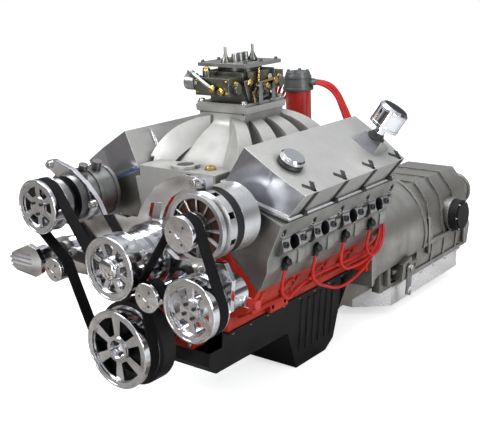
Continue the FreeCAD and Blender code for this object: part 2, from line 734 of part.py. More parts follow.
def accessory_plate():
    """The polished plate that carries every accessory, with its arms, openings, holes and spacers."""
    points = [(-286, 376), (-277, 388), (-255, 392), (-193, 376), (-146, 344), (-112, 310), (-96, 280),
              (-55, 288),
              (-18, 285), (10, 296), (25, 312), (43, 336), (70, 366), (111, 389), (154, 403), (190, 402),
              (206, 392), (204, 379), (171, 376), (145, 366), (120, 350), (100, 325), (88, 300), (84, 262),
              (96, 228), (122, 212), (190, 218), (258, 226), (276, 190), (268, 120), (228, 92), (176, 104),
              (120, 100), (82, 84), (44, 96), (66, 150), (-66, 150), (-80, 128), (-120, 122), (-200, 120),
              (-272, 118),
              (-306, 140), (-300, 184), (-262, 200), (-206, 212), (-196, 258), (-204, 318), (-214, 342),
              (-250, 354)]
    blank = prism(points, back(plate_front), plate_thick)
    spacers = [rod(spacer_radius, -plate_front - plate_thick,
                   (side * 140, back(plate_front + plate_thick), z), "Y")
               for side in SIDES.values() for z in (190, 148)]
    windows = [[(-23, 292), (4, 327), (35, 331), (13, 290)], [(44, 290), (58, 330), (92, 334), (78, 290)]]
    tools = [prism(window, back(plate_front) - 1, plate_thick + 2) for window in windows]
    tools.append(rod(pump_barrel + 1, 20, (0, back(plate_front) - 4, pump_up), "Y"))
    tools.append(rod(steer_boss + apart, 20, (steer_out, back(plate_front) - 4, steer_up), "Y"))
    for x, z in ((-268, 378), (90, 232), (187, 199), (186, 390), (-130, 300), (-120, 160), (130, 122),
                 (-215, 170)):
        tools.append(rod(plate_bolt, plate_thick + 2, (x, back(plate_front) - 1, z), "Y"))
    return name(cut(fuse(blank, *spacers), *tools), "accessory_plate")


def water_pump():
    """Cast pump housing behind the polished barrel, its legs on the block beside the timing cover."""
    front = pump_face + 53
    barrel = rod(pump_barrel, -cover_depth - 14 - front, (0, back(front), pump_up), "Y")
    groove = ring(pump_barrel + 5, pump_barrel - 3, 6, (0, back(front) + 24, pump_up))
    casting = prism([(-116, 120), (-60, 128), (60, 128), (116, 120), (116, 190), (70, 258), (-70, 258),
                     (-116, 190)],
                    back(-cover_depth) - 24, 18)
    legs = [block(16, cover_depth + 10, 70, (side * 108 - 8, back(-cover_depth) - 10,
                                             124)) for side in SIDES.values()]
    bore = rod(shaft_radius + running, 140, (0, back(front) - 5, pump_up), "Y")
    chamber = rod(36, 11, (0, back(impeller_back) - 2, pump_up), "Y")
    cover = rod(40, 3, (0, back(impeller_back) + 9, pump_up), "Y")
    return name(cut(fuse(barrel, casting, *legs, cover), groove,
                    cut(bore, rod(30, 60, (0, back(impeller_back) + 9, pump_up), "Y")),
                    chamber), "water_pump_body")


def alternator():
    """Alternator: slotted front housing, black stator band, smooth rear housing and polished fan."""
    x = charger_out
    z = charger_up
    bore = rod(shaft_radius + running, 140, (x, back(-142), z), "Y")
    room = rod(charger_body - 12, 30, (x, back(-126), z), "Y")
    slots = []
    for index in range(8):
        slot = block(20, 16, 14, (0, 0, 0))
        holder = Placement(Vector(float(x), float(back(-130)), float(z)),
                           Rotation(Vector(0, 1, 0), 45 * index + 22))
        slot.Placement = holder.multiply(Placement(Vector(float(charger_body) - 15, 0, -7), Rotation()))
        slots.append(slot)
    front = fuse(cone(charger_body - 12, charger_body, 8, (x, back(-140), z), "Y"),
                 rod(charger_body, 20, (x, back(-132), z), "Y"))
    ears = [block(34, 22, 34, (x - 32, back(plate_front + plate_thick), z + charger_body - 10)),
            block(34, 22, 34, (x - 34, back(plate_front + plate_thick), z - charger_body - 22))]
    rear = fuse(rod(charger_body, 54, (x, back(-88), z), "Y"),
                cone(charger_body, charger_body - 10, 10, (x, back(-34), z), "Y"))
    rear_room = rod(charger_body - 12, 50, (x, back(-89), z), "Y")
    rear_bore = rod(shaft_radius + running, 12, (x, back(-44), z), "Y")
    seat = rod(charger_body - 2 + apart, 24, (x, back(-112), z), "Y")
    name(group(cut(fuse(front, *ears), bore, room, seat, *slots), cut(rear, rear_room, rear_bore)),
         "alternator_housing")
    name(ring(charger_body - 2, charger_body - 16, 24, (x, back(-112), z)), "alternator_stator")
    start = back(-158)
    blades = []
    for index in range(12):
        blade = block(fan_radius - 34, 8, 3, (0, 0, 0))
        holder = Placement(Vector(float(x), float(start), float(z)), Rotation(Vector(0, 1, 0), 30 * index))
        blade.Placement = holder.multiply(Placement(Vector(29, 3, -4), Rotation(Vector(1, 0, 0), 35)))
        blades.append(blade)
    fan = fuse(ring(fan_radius, fan_radius - 9, 12, (x, start, z)), rod(34, 5, (x, start + 4, z), "Y"),
               rod(16, 12, (x, start - 8, z), "Y"), *blades)
    return name(cut(fan, rod(shaft_radius, 30, (x, start - 10, z), "Y")), "alternator_fan")


def compressor():
    """Air-conditioning compressor: clutch coil ring, banded body and two hose ports."""
    x = cooler_out
    z = cooler_up
    behind = back(plate_front + plate_thick)
    coil = rod(cooler_rim - 8, 20, (x, back(-166), z), "Y")
    neck = rod(34, 26, (x, back(-148), z), "Y")
    body = rod(cooler_rim - 2, 118, (x, behind, z), "Y")
    bands = [rod(cooler_rim + 1, 8, (x, behind + step, z), "Y") for step in (4, 56, 108)]
    ears = [block(40, 20, 30, (x + 20, behind, z + 36)), block(40, 20, 26, (x + 20, behind, z - 62))]
    ports = [rod(11, 34, (x + 18, behind + step, z + 48), (0.35, 0, 1)) for step in (38, 82)]
    bore = rod(shaft_radius + running, 120, (x, back(-170), z), "Y")
    return name(cut(fuse(coil, neck, body, *bands, *ears, *ports), bore), "compressor_body")


def steering_pump():
    """Power-steering pump: boss through the plate, round can and two hose fittings with red caps."""
    x = steer_out
    z = steer_up
    behind = back(plate_front + plate_thick)
    boss = rod(steer_boss, 60, (x, back(-168), z), "Y")
    flange = rod(38, 8, (x, behind, z), "Y")
    can = fuse(rod(40, 44, (x, behind + 8, z), "Y"), cone(40, 30, 10, (x, behind + 52, z), "Y"))
    up = (x - 4, behind + 20, z + 37)
    side = (x + 37, behind + 34, z - 12)
    fittings = [hexagon(13, 14, up, "Z"), hexagon(13, 16, side, "X")]
    bore = rod(shaft_radius + running, 102, (x, back(-170), z), "Y")
    name(cut(fuse(boss, flange, can, *fittings), bore), "steering_pump")
    caps = []
    for at, along, start in ((up, "Z", (up[0], up[1], up[2] + 14)),
                             (side, "X", (side[0] + 16, side[1], side[2]))):
        caps.append(rod(10, 26, start, along))
    return name(group(*caps), "steering_port_caps")


def damper():
    """Black vibration damper: hub, web and inertia ring behind the crank pulley."""
    start = back(damper_front)
    rim = ring(damper_radius, 74, 40, (0, start, 0))
    web = rod(78, 12, (0, start + 16, 0), "Y")
    hub = rod(36, -cover_depth - 14 - damper_front, (0, start, 0), "Y")
    bore = rod(snout_radius, 140, (0, start - 1, 0), "Y")
    return name(cut(fuse(rim, web, hub), bore), "vibration_damper")


def on_rail(side, out, up, along):
    """A point of a valve cover: out from its inner rail, up from the rail, back along the engine."""
    x = cover_in + out * math.cos(tilt) + up * math.sin(tilt)
    z = cover_up - out * math.sin(tilt) + up * math.cos(tilt)
    return Vector(side * float(x), float(back(along + bank_lead(side))), float(z))


def rail_point(out, up):
    """A point of the left rail's section, as a pair across and up."""
    return (cover_in + out * math.cos(tilt) + up * math.sin(tilt),
            cover_up - out * math.sin(tilt) + up * math.cos(tilt))


def head_inner():
    """Lower and upper ends of the left head's inner face, which the manifold's flange meets."""
    return on_bank(1, -deck_half, deck_height + gasket), rail_point(-4, -16)


def head(side_name):
    """Aluminium head: chambers on the deck, exhaust pads, plug and bolt recesses, intake ports."""
    side = SIDES[side_name]
    deck_in, inner = head_inner()
    deck_out = on_bank(1, deck_half, deck_height + gasket)
    section = [deck_in, deck_out, (246, 128), (262, 162), (266, 194), rail_point(cover_width + 4, -42),
               rail_point(cover_width + 6, -14), rail_point(cover_width + 6, -rail_gasket),
               rail_point(-6, -rail_gasket), inner]
    adds = [prism([(side * x, z) for x, z in section], back(head_start + bank_lead(side)), head_length)]
    tools = []
    for place in bank_bores(side):
        station = back(place)
        chamber = on_bank(side, 0, deck_height - 4)
        tools.append(cone(bore_radius - 6, 30, 22, (chamber[0], station, chamber[1]), (side, 0, 1)))
        tools.append(rod(plug_recess, 60, (side * 296, station, 183.5), (-side, 0, -0.42)))
        adds.append(prism([(side * 250, 196), (side * 282, 200), (side * 293, 212), (side * 288, 238),
                           (side * 262, 250)],
                          station - 44, 88))
        tools.append(rod(exhaust_port, 70, (side * 320, station, 232), (-side, 0, -0.25)))
        tools.append(rod(intake_port, 50, (side * 100, station, port_up - 8), (side, 0, 0.22)))
    for index in range(5):
        station = back(first_bore + bank_lead(side) - 46 + (bore_spacing - 6) * index)
        tools.append(rod(bolt_recess, 40, (side * 322, station, 262), (-side, 0, -0.3)))
    well = [rail_point(22, 4), rail_point(cover_width - 20, 4),
            rail_point(cover_width - 26, well_depth(cover_width - 26)),
            rail_point(28, well_depth(28))]
    tools.append(prism([(side * x, z) for x, z in well], back(30 + bank_lead(side)), head_length - 54))
    return name(cut(fuse(*adds), *tools), "cylinder_head_" + side_name)


def well_depth(out):
    """Height of the head's sunken top under the cover, measured from the rail."""
    return -26 + 8 * (out - 28) / (cover_width - 54)


def head_gaskets():
    """Thin gaskets between the decks and the heads, with a hole for each bore."""
    made = []
    for side in SIDES.values():
        corners = [on_bank(side, -deck_half, deck_height), on_bank(side, deck_half, deck_height),
                   on_bank(side, deck_half, deck_height + gasket),
                   on_bank(side, -deck_half, deck_height + gasket)]
        sheet_piece = prism(corners, back(head_start + bank_lead(side)), head_length)
        start = on_bank(side, 0, deck_height - 5)
        bores = [rod(bore_radius + 1, 12, (start[0], back(place), start[1]),
                     (side, 0, 1)) for place in bank_bores(side)]
        made.append(cut(sheet_piece, *bores))
    return name(group(*made), "head_gaskets")


def valve_gear():
    """Rocker arms and valve springs of both banks, under the covers."""
    made = []
    for side in SIDES.values():
        arm = [rail_point(out, rise) for out, rise in ((38, 40), (64, 54), (112, 46), (124, 32), (104, 32),
                                                       (64, 34))]
        low = on_rail(side, 114, well_depth(114) + 1, 0)
        up = on_rail(side, 110, 1, 0) - on_rail(side, 110, 0, 0)
        for place in bank_bores(side):
            for step in (-26, 26):
                station = back(place) + step
                made.append(rod(12, 31 - well_depth(114), (low.x, station, low.z), tuple(up)))
                made.append(prism([(side * x, z) for x, z in arm], station - 9, 18))
    return name(group(*made), "valve_gear")


def cover_wire(side, rows):
    """A closed outline through points given in a valve cover's own terms."""
    spots = [on_rail(side, *row) for row in rows]
    return Part.makePolygon(spots + spots[:1])


def cover_top(out):
    """Height of a valve cover's roof above its rail."""
    return 99 - 0.16 * (out - 16)


def cover_form(side, shrink):
    """Solid form of a valve cover: its foot outline lofted to the sloping roof outline."""
    front = 12 + shrink
    rear = 490 - shrink
    width = float(cover_width) - shrink
    base = 5 - shrink * 3
    foot = [(shrink, base, front), (100, base, front), (width, base, front + 20), (width, base, rear - 15),
            (100, base, rear), (shrink, base, rear)]
    roof = [(out, cover_top(out) - shrink, along) for out, along in (
        (16 + shrink, front + 12), (110, front + 12), (192 - shrink, front + 24),
        (192 - shrink, rear - 25), (110, rear - 8), (16 + shrink, rear - 8))]
    return Part.makeLoft([cover_wire(side, foot), cover_wire(side, roof)], True, True)


def cover_pockets(side, grow):
    """The bolt pockets down a valve cover's two long sides."""
    up = on_rail(side, 0, 1, 0) - on_rail(side, 0, 0, 0)
    pockets = []
    for out, radius, stations in ((181, 9, (77, 201, 325, 449)), (7, 8, (104, 272, 440))):
        for along in stations:
            pockets.append(Part.makeCylinder(radius + grow, 120, on_rail(side, out, 8 - 2 * grow, along), up))
    return pockets


def valve_cover(side_name):
    """Cast valve cover: hollow form, foot flange, bolt pockets, and holes for cap and breather."""
    side = SIDES[side_name]
    wall = float(cover_wall)
    width = float(cover_width)
    room = cover_form(side, wall)
    for pocket in cover_pockets(side, wall):
        room = room.cut(pocket)
    up = on_rail(side, 0, 1, 0) - on_rail(side, 0, 0, 0)
    flange = Part.Face(cover_wire(side, rail_rows(6))).extrude(up * 8)
    inner_rows = [(wall, -2, 12 + wall), (100, -2, 12 + wall), (width - wall, -2, 32 + wall),
                  (width - wall, -2, 475 - wall), (100, -2, 490 - wall), (wall, -2, 490 - wall)]
    mouth = Part.Face(cover_wire(side, inner_rows)).extrude(up * 12)
    for pocket in cover_pockets(side, wall):
        mouth = mouth.cut(pocket)
    shell = cover_form(side, 0).fuse(flange).cut(room).cut(mouth)
    for pocket in cover_pockets(side, 0):
        shell = shell.cut(pocket)
    if side > 0:
        wedge = Part.makeLoft([
            cover_wire(side, [(84, 78, 356), (156, 66, 356), (156, 66, 450), (84, 78, 450)]),
            cover_wire(side, [(96, 112, 402), (146, 104, 402), (146, 84, 446), (96, 92, 446)])], True, True)
        shell = shell.fuse(wedge.cut(room))
        start, direction = breather_line()
        shell = shell.cut(Part.makeCylinder(float(breather_neck) + 0.3, 120, start - direction * 60,
                                            direction))
        start, direction = cap_line()
        shell = shell.cut(Part.makeCylinder(float(cap_neck) + 0.3, 60, start - direction * 30, direction))
    return shape_part("valve_cover_" + side_name, shell.removeSplitter())


def rail_rows(beyond):
    """A valve cover's foot outline, grown beyond its walls."""
    width = float(cover_width) + beyond
    return [(-beyond, 0, 10 - beyond), (102, 0, 10 - beyond), (width, 0, 33 - beyond),
            (width, 0, 474 + beyond),
            (102, 0, 491 + beyond), (-beyond, 0, 491 + beyond)]


def valve_cover_gaskets():
    """Blue gaskets between the heads' rails and the valve covers."""
    made = []
    for side in SIDES.values():
        down = on_rail(side, 0, -1, 0) - on_rail(side, 0, 0, 0)
        sheet_piece = Part.Face(cover_wire(side,
                                           rail_rows(5))).cut(Part.Face(cover_wire(side, rail_rows(-8))))
        made.append(sheet_piece.extrude(down * float(rail_gasket)).Solids[0])
    return shape_part("valve_cover_gaskets", Part.makeCompound(made))


def breather_line():
    """Foot and direction of the breather's leaning axis."""
    direction = Vector(0.52, 0.2, 0.83)
    direction.normalize()
    return on_rail(1, 118, 84, 412), direction


def cap_line():
    """Foot and direction of the oil filler cap's axis, square to the cover's roof."""
    across = on_rail(1, 192, cover_top(192), 92) - on_rail(1, 16, cover_top(16), 92)
    direction = across.cross(Vector(0, 1, 0))
    direction.normalize()
    return on_rail(1, 98, cover_top(98), 92), direction


def caps_on_cover():
    """Chrome push-in oil filler cap and the chrome breather with its neck."""
    foot, direction = cap_line()
    name(fuse(rod(cap_neck, 30, tuple(foot - direction * 14), tuple(direction)),
              rod(24, 14, tuple(foot + direction * 0.3), tuple(direction)),
              rod(29, 7, tuple(foot + direction * 14), tuple(direction)),
              cone(29, 25, 4, tuple(foot + direction * 21), tuple(direction))), "oil_filler_cap")
    foot, direction = breather_line()
    name(fuse(rod(breather_neck, 86, tuple(foot - direction * 14), tuple(direction)),
              rod(37.5, 50, tuple(foot + direction * 52), tuple(direction)),
              cone(37.5, 32, 6, tuple(foot + direction * 102), tuple(direction))), "breather")


def rectangle(z, half_x, half_y, middle):
    """A level rectangle round the manifold's upright axis."""
    spots = [Vector(-half_x, middle - half_y, z), Vector(half_x, middle - half_y, z),
             Vector(half_x, middle + half_y, z), Vector(-half_x, middle + half_y, z)]
    return Part.makePolygon(spots + spots[:1])


def runner_section(centre, half_y, half_z, lean):
    """A runner's four-cornered section at a point, leaning outward by an angle from upright."""
    rise = Vector(math.sin(lean), 0, math.cos(lean)) * half_z
    across = Vector(0, half_y, 0)
    spots = [centre - rise - across, centre - rise + across, centre + rise + across * 0.8,
             centre + rise - across * 0.8]
    return Part.makePolygon(spots + spots[:1])


def intake_manifold():
    """Tall single-plane manifold: carburettor pad, plenum, eight runners, valley deck and water outlet."""
    middle = float(back(carb_back))
    top = float(pad_up)
    half = float(pad_half)
    deck_in = on_bank(1, -deck_half, deck_height)
    low, high = head_inner()
    pad = Part.makeLoft([rectangle(top - 16, half - 2, half - 2, middle),
                         rectangle(top, half, half, middle)], True, True)
    plenum = Part.makeLoft([rectangle(top - 14, half - 6, half - 6, middle),
                            rectangle(top - 50, half - 16, half, middle),
                            rectangle(top - 160, half - 44, half + 50, middle)], True, True)
    trough = [(deck_in[0] - apart, deck_in[1]), (high[0] - 0.2, high[1]), (high[0] - 30, high[1] + 2),
              (62, 262)]
    mirrored = [(-x, z) for x, z in reversed(trough)]
    deck = Part.Face(Part.makePolygon([Vector(x, 0, z) for x, z in trough + mirrored + trough[:1]]))
    deck = deck.extrude(Vector(0, float(block_length) - 24, 0))
    deck.translate(Vector(0, float(back(12)), 0))
    whole = pad.fuse([plenum, deck])
    for side in SIDES.values():
        for index, place in enumerate(bank_bores(side)):
            at_head = float(back(place))
            at_plenum = middle + (index - 1.5) * 44
            start = runner_section(Vector(side * 30, at_plenum, top - 52), 22, 28, 0)
            elbow = runner_section(Vector(side * 88, (at_plenum + at_head) / 2, top - 84), 30, 33, side * 0.6)
            end = runner_section(Vector(side * (high[0] - 8), at_head, float(port_up) + 6), 42, 32,
                                 side * 1.1)
            whole = whole.fuse(Part.makeLoft([start, elbow, end], True, False))
    neck = Part.makeBox(236, 74, 106, Vector(-118, float(back(12)), 260))
    flare = Part.makeLoft([rectangle(330, 128, 26, float(back(108))),
                           rectangle(top - 40, 62, 24, middle - half + 26)],
                          True, True)
    boss = Part.makeCylinder(34, 10, Vector(0, float(back(46)), 364))
    seat = Part.makeCylinder(float(spark_stem) + 18, float(spark_seat) - 262,
                             Vector(0, float(back(spark_back)), 262))
    whole = whole.fuse([neck, flare, boss, seat])
    tools = [Part.makeCylinder(float(outlet_radius), 90, Vector(0, float(back(46)), 290)),
             Part.makeCylinder(14, 80, Vector(66, float(back(58)), 300)),
             Part.makeCylinder(float(spark_stem), 200, Vector(0, float(back(spark_back)), 200))]
    for step in (-1, 1):
        tools.append(Part.makeCylinder(4, 30, Vector(step * float(outlet_bolts) / 2, float(back(46)), 350)))
        for other in (-1, 1):
            hole = Vector(step * float(barrel_x), middle + other * float(barrel_y), top - 90)
            tools.append(Part.makeCylinder(float(throat), 100, hole))
            stud = Vector(step * float(carb_stud_x) / 2, middle + other * float(carb_stud_y) / 2, top - 20)
            tools.append(Part.makeCylinder(4, 30, stud))
    for side in SIDES.values():
        beyond = [(deck_in[0] - apart, deck_in[1] - 5), (high[0] - 0.2, high[1]),
                  (cover_in - 9, cover_up - 10),
                  (cover_in - 9, cover_up + 22), (260, cover_up + 22), (260, deck_in[1] - 5)]
        corners = [Vector(side * float(x), 0, float(z)) for x, z in beyond + beyond[:1]]
        wedge = Part.Face(Part.makePolygon(corners)).extrude(Vector(0, float(block_length) + 40, 0))
        wedge.translate(Vector(0, float(back(-10)), 0))
        whole = whole.cut(wedge)
        for place in bank_bores(side):
            mouth = Vector(side * float(high[0] + 10), float(back(place)), float(port_up))
            tools.append(Part.makeCylinder(float(intake_port), 50, mouth, Vector(-side, 0, -0.22)))
    return shape_part("intake_manifold", whole.cut(tools).removeSplitter())


def throats(radius, low, height):
    """Four upright holes, one for each barrel."""
    return [rod(radius, height, (dx * barrel_x, back(carb_back) + dy * barrel_y, low), "Z")
            for dx in (-1, 1) for dy in (-1, 1)]


def carburettor():
    """Four-barrel carburettor: throttle base, main body, float bowls with metering blocks, air horn."""
    y = back(carb_back)
    z = pad_up
    studs = [rod(4, 30, (carb_stud_x / 2 * dx, y + carb_stud_y / 2 * dy, z - 1), "Z")
             for dx in (-1, 1) for dy in (-1, 1)]
    shafts = [rod(butterfly_shaft + running, 160, (-80, y + dy * barrel_y, z + 14), "X") for dy in (-1, 1)]
    plate = block(148, 160, 7, (-74, y - 80, z))
    body = block(108, 104, 26, (-54, y - 52, z))
    name(cut(fuse(plate, body), *throats(throat, z - 1, 30), *shafts, *studs), "carb_throttle_body")
    main = fuse(block(128, 98, 54, (-64, y - 49, z + 26)), rod(54, 12, (0, y, z + 80), "Z"))
    name(cut(main, *throats(throat - 2, z + 20, 60), rod(44, 50, (0, y, z + 56), "Z")), "carb_main_body")
    bowls = []
    for way in (-1, 1):
        front = y - 49 - 14 if way < 0 else y + 49
        outside = y - 49 - 60 if way < 0 else y + 49 + 14
        bowls.append(fuse(block(116, 14, 54, (-58, front, z + 26)),
                          block(104, 46, 42, (-52, outside, z + 28)),
                          rod(10, 16, (-34, outside + 23, z + 68), "Z"),
                          rod(12, 14, (51, outside + 23, z + 44), "X")))
    name(group(*bowls), "carb_float_bowls")
    roof = block(150, 140, 9, (-75, y - 70, z + 92))
    opening = rod(46, 30, (0, y, z + 88), "Z")
    bridge = block(26, 100, 6, (-13, y - 50, z + 93))
    tubes = [rod(3.5, 40, (x, y + dy, z + 98), "Z") for x, dy in ((-8, -44), (10, 40))]
    towers = [cone(9, 7, 22, (x, y + dy, z + 98), "Z") for x, dy in ((6, -26), (0, 2), (-2, 26))]
    name(fuse(cut(roof, opening), bridge, *tubes, *towers), "carb_air_horn")


def throttle(label, way):
    """A throttle shaft with its two butterfly plates and the lever at its end."""
    y = back(carb_back) + way * barrel_y
    z = pad_up + 14
    shaft = rod(butterfly_shaft, 152, (-68, y, z), "X")
    plates = [rod(throat - apart, 1.6, (dx * barrel_x, y, z - 0.8), "Z") for dx in (-1, 1)]
    reach = 44 if way < 0 else 20
    lever = prism([(y - 8, z - 8), (y + 9, z - 8), (y + 5, z + reach), (y - 5, z + reach)], 80, 3, "YZ")
    return name(fuse(shaft, lever, *plates), label)


def distributor():
    """Distributor: stem in the manifold and block, red body, grey cap with side terminals, rotor."""
    y = back(spark_back)
    foot = cam_height + cam_radius + 1
    stem = rod(spark_stem, 400 - foot, (0, y, foot), "Z")
    collar = rod(spark_stem + 8, 8, (0, y, spark_seat), "Z")
    body = fuse(stem, collar, cone(22, spark_body, 22, (0, y, 380), "Z"),
                rod(spark_body, 94, (0, y, 402), "Z"))
    room = rod(spark_body - 6, 70, (0, y, 430), "Z")
    bore = rod(6 + running, 330, (0, y, 150), "Z")
    name(cut(body, room, bore), "distributor_body")
    low = terminal_up - 12
    cap = cone(spark_body + 5, spark_body + 1, 24, (0, y, low), "Z")
    terminals = []
    for angle in CAP_ANGLES:
        direction = (math.cos(math.radians(angle)), math.sin(math.radians(angle)), 0)
        start = (direction[0] * 26, y + direction[1] * 26, terminal_up)
        terminals.append(rod(6, terminal_reach - 26, start, direction))
    name(cut(fuse(cap, rod(9, 36, (0, y, low), "Z"), *terminals),
             rod(spark_body - 5, 20, (0, y, low - 1), "Z")),
         "distributor_cap")
    return name(fuse(rod(6, 320, (0, y, foot), "Z"), rod(11, 22, (0, y, 470), "Z"),
                     block(30, 9, 8, (-6, y - 4.5, 489))),
                "distributor_rotor")


def plug_spot(side, place, along):
    """A point on a spark plug's axis, counted outward from its seat in the head."""
    tip = math.hypot(1, 0.42)
    return Vector(side * (241 + along / tip), float(back(place)), 160.4 + 0.42 * along / tip)


def spark_plugs():
    """Eight plugs, each with its shell hexagon and insulator, seated in the head recesses."""
    plugs = []
    for side in SIDES.values():
        direction = (side, 0, 0.42)
        for place in bank_bores(side):
            shell = hexagon(10.5, 13, tuple(plug_spot(side, place, 0)), direction)
            plugs.append(fuse(shell, rod(5, 17, tuple(plug_spot(side, place, 13)), direction)))
    return name(group(*plugs), "spark_plugs")


# Routes of the left bank's leads: from the cap to the bundle, and from the bundle to each plug,
# the rearmost plug first. The numbers are across, back from the block's front face, and up.
CAP_ROUTES = [
    [(69.6, 517.3, 508), (98, 541, 481)],
    [(62.9, 540.7, 508), (94, 554, 484)],
    [(48.6, 560.4, 508), (84, 574, 488)],
    [(28.5, 573.9, 508), (68, 590, 492)],
]
BUNDLE = [(120, 556, 428), (146, 558, 366), (188, 546, 288), (226, 530, 216)]
PLUG_ROUTES = [
    [(250, 520, 170), (264, 512, 136), (268, 494, 104), (268, 470, 86), (268, 436, 84), (268, 408, 115)],
    [(247, 522, 152), (256, 494, 110), (256, 455, 78), (258, 400, 72), (266, 350, 80), (268, 313, 84),
     (268, 285, 115)],
    [(243, 530, 160), (253, 512, 104), (247, 455, 52), (243, 380, 28), (247, 310, 31), (256, 240, 62),
     (267, 190, 84), (268, 163, 117)],
    [(236, 544, 170), (243, 536, 116), (242, 480, 90), (243, 372, 87), (242, 284, 92), (243, 196, 94),
     (250, 120, 84), (267, 68, 82), (268, 40, 115)],
]


def lead_route(side, number):
    """The hand-chosen points of one lead, from its cap terminal to its plug boot."""
    lead = float(bank_lead(side))
    angle = math.radians(CAP_ANGLES[number])
    reach = float(terminal_reach)
    points = [(reach * math.cos(angle), float(spark_back) + reach * math.sin(angle), float(terminal_up))]
    points += CAP_ROUTES[number]
    apart_by = (number - 1.5) * 9
    points += [(x, y + apart_by + lead, z) for x, y, z in BUNDLE]
    points += [(x, y + lead, z) for x, y, z in PLUG_ROUTES[number]]
    place = bank_bores(1)[3 - number] + lead
    end = boot_end(side, place)
    spots = [Vector(side * x, float(back(y)), z) for x, y, z in points]
    return spots + [end]


def boot_end(side, place):
    """Where a plug's boot lets go of its lead, below and ahead of the plug."""
    return plug_spot(side, place, 29) + Vector(0, -0.5, -0.866) * 22


def lead_wire(spots):
    """Straight runs joined by tangent arcs, each as large as its two runs allow."""
    edges = []
    radii = []
    here = spots[0]
    for index in range(1, len(spots) - 1):
        before = spots[index] - spots[index - 1]
        after = spots[index + 1] - spots[index]
        set_back = 0.45 * min(before.Length, after.Length)
        turn = before.getAngle(after)
        radius = set_back / math.tan(turn / 2)
        radii.append(radius)
        begin = spots[index] - before.normalize() * set_back
        end = spots[index] + after.normalize() * set_back
        inward = (begin + end) * 0.5 - spots[index]
        middle = spots[index] + inward.normalize() * (radius / math.cos(turn / 2) - radius)
        edges.append(Part.LineSegment(here, begin).toShape())
        edges.append(Part.Arc(begin, middle, end).toShape())
        here = end
    edges.append(Part.LineSegment(here, spots[-1]).toShape())
    print("smallest lead radius %.1f" % min(radii))
    return Part.Wire(edges)


def ignition_leads():
    """Eight leads with plain square sections along their routes, each with its plug boot."""
    made = []
    for side in SIDES.values():
        for number in range(4):
            spots = lead_route(side, number)
            wire = lead_wire(spots)
            along = spots[1] - spots[0]
            turn = Rotation(Vector(0, 0, 1), along)
            corners = []
            for step in range(5):
                angle = math.pi / 2 * step
                corner = Vector(math.cos(angle), math.sin(angle), 0) * float(lead_radius)
                corners.append(spots[0] + turn.multVec(corner))
            tube = wire.makePipeShell([Part.makePolygon(corners)], True, False)
            ideal = 2 * float(lead_radius) ** 2 * wire.Length
            print("lead %d length %.0f volume share %.3f" % (number, wire.Length, tube.Volume / ideal))
            made.append(tube)
            place = bank_bores(side)[3 - number]
            axis = plug_spot(side, place, 1) - plug_spot(side, place, 0)
            barrel = Part.makeCylinder(9, 22, plug_spot(side, place, 14), axis)
            elbow = Part.makeCylinder(6, 22, plug_spot(side, place, 29), Vector(0, -0.5, -0.866))
            hole = Part.makeCylinder(5, 17, plug_spot(side, place, 13), axis)
            made.append(barrel.fuse(elbow).cut(hole))
    return shape_part("ignition_leads", Part.makeCompound(made))


def case_section(half, low, high, shoulder):
    """The gearbox case's eight-cornered section."""
    return [(half - 8, low), (half, low + 68), (half - 22, high - shoulder), (half - 66, high),
            (66 - half, high),
            (22 - half, high - shoulder), (-half, low + 68), (8 - half, low)]


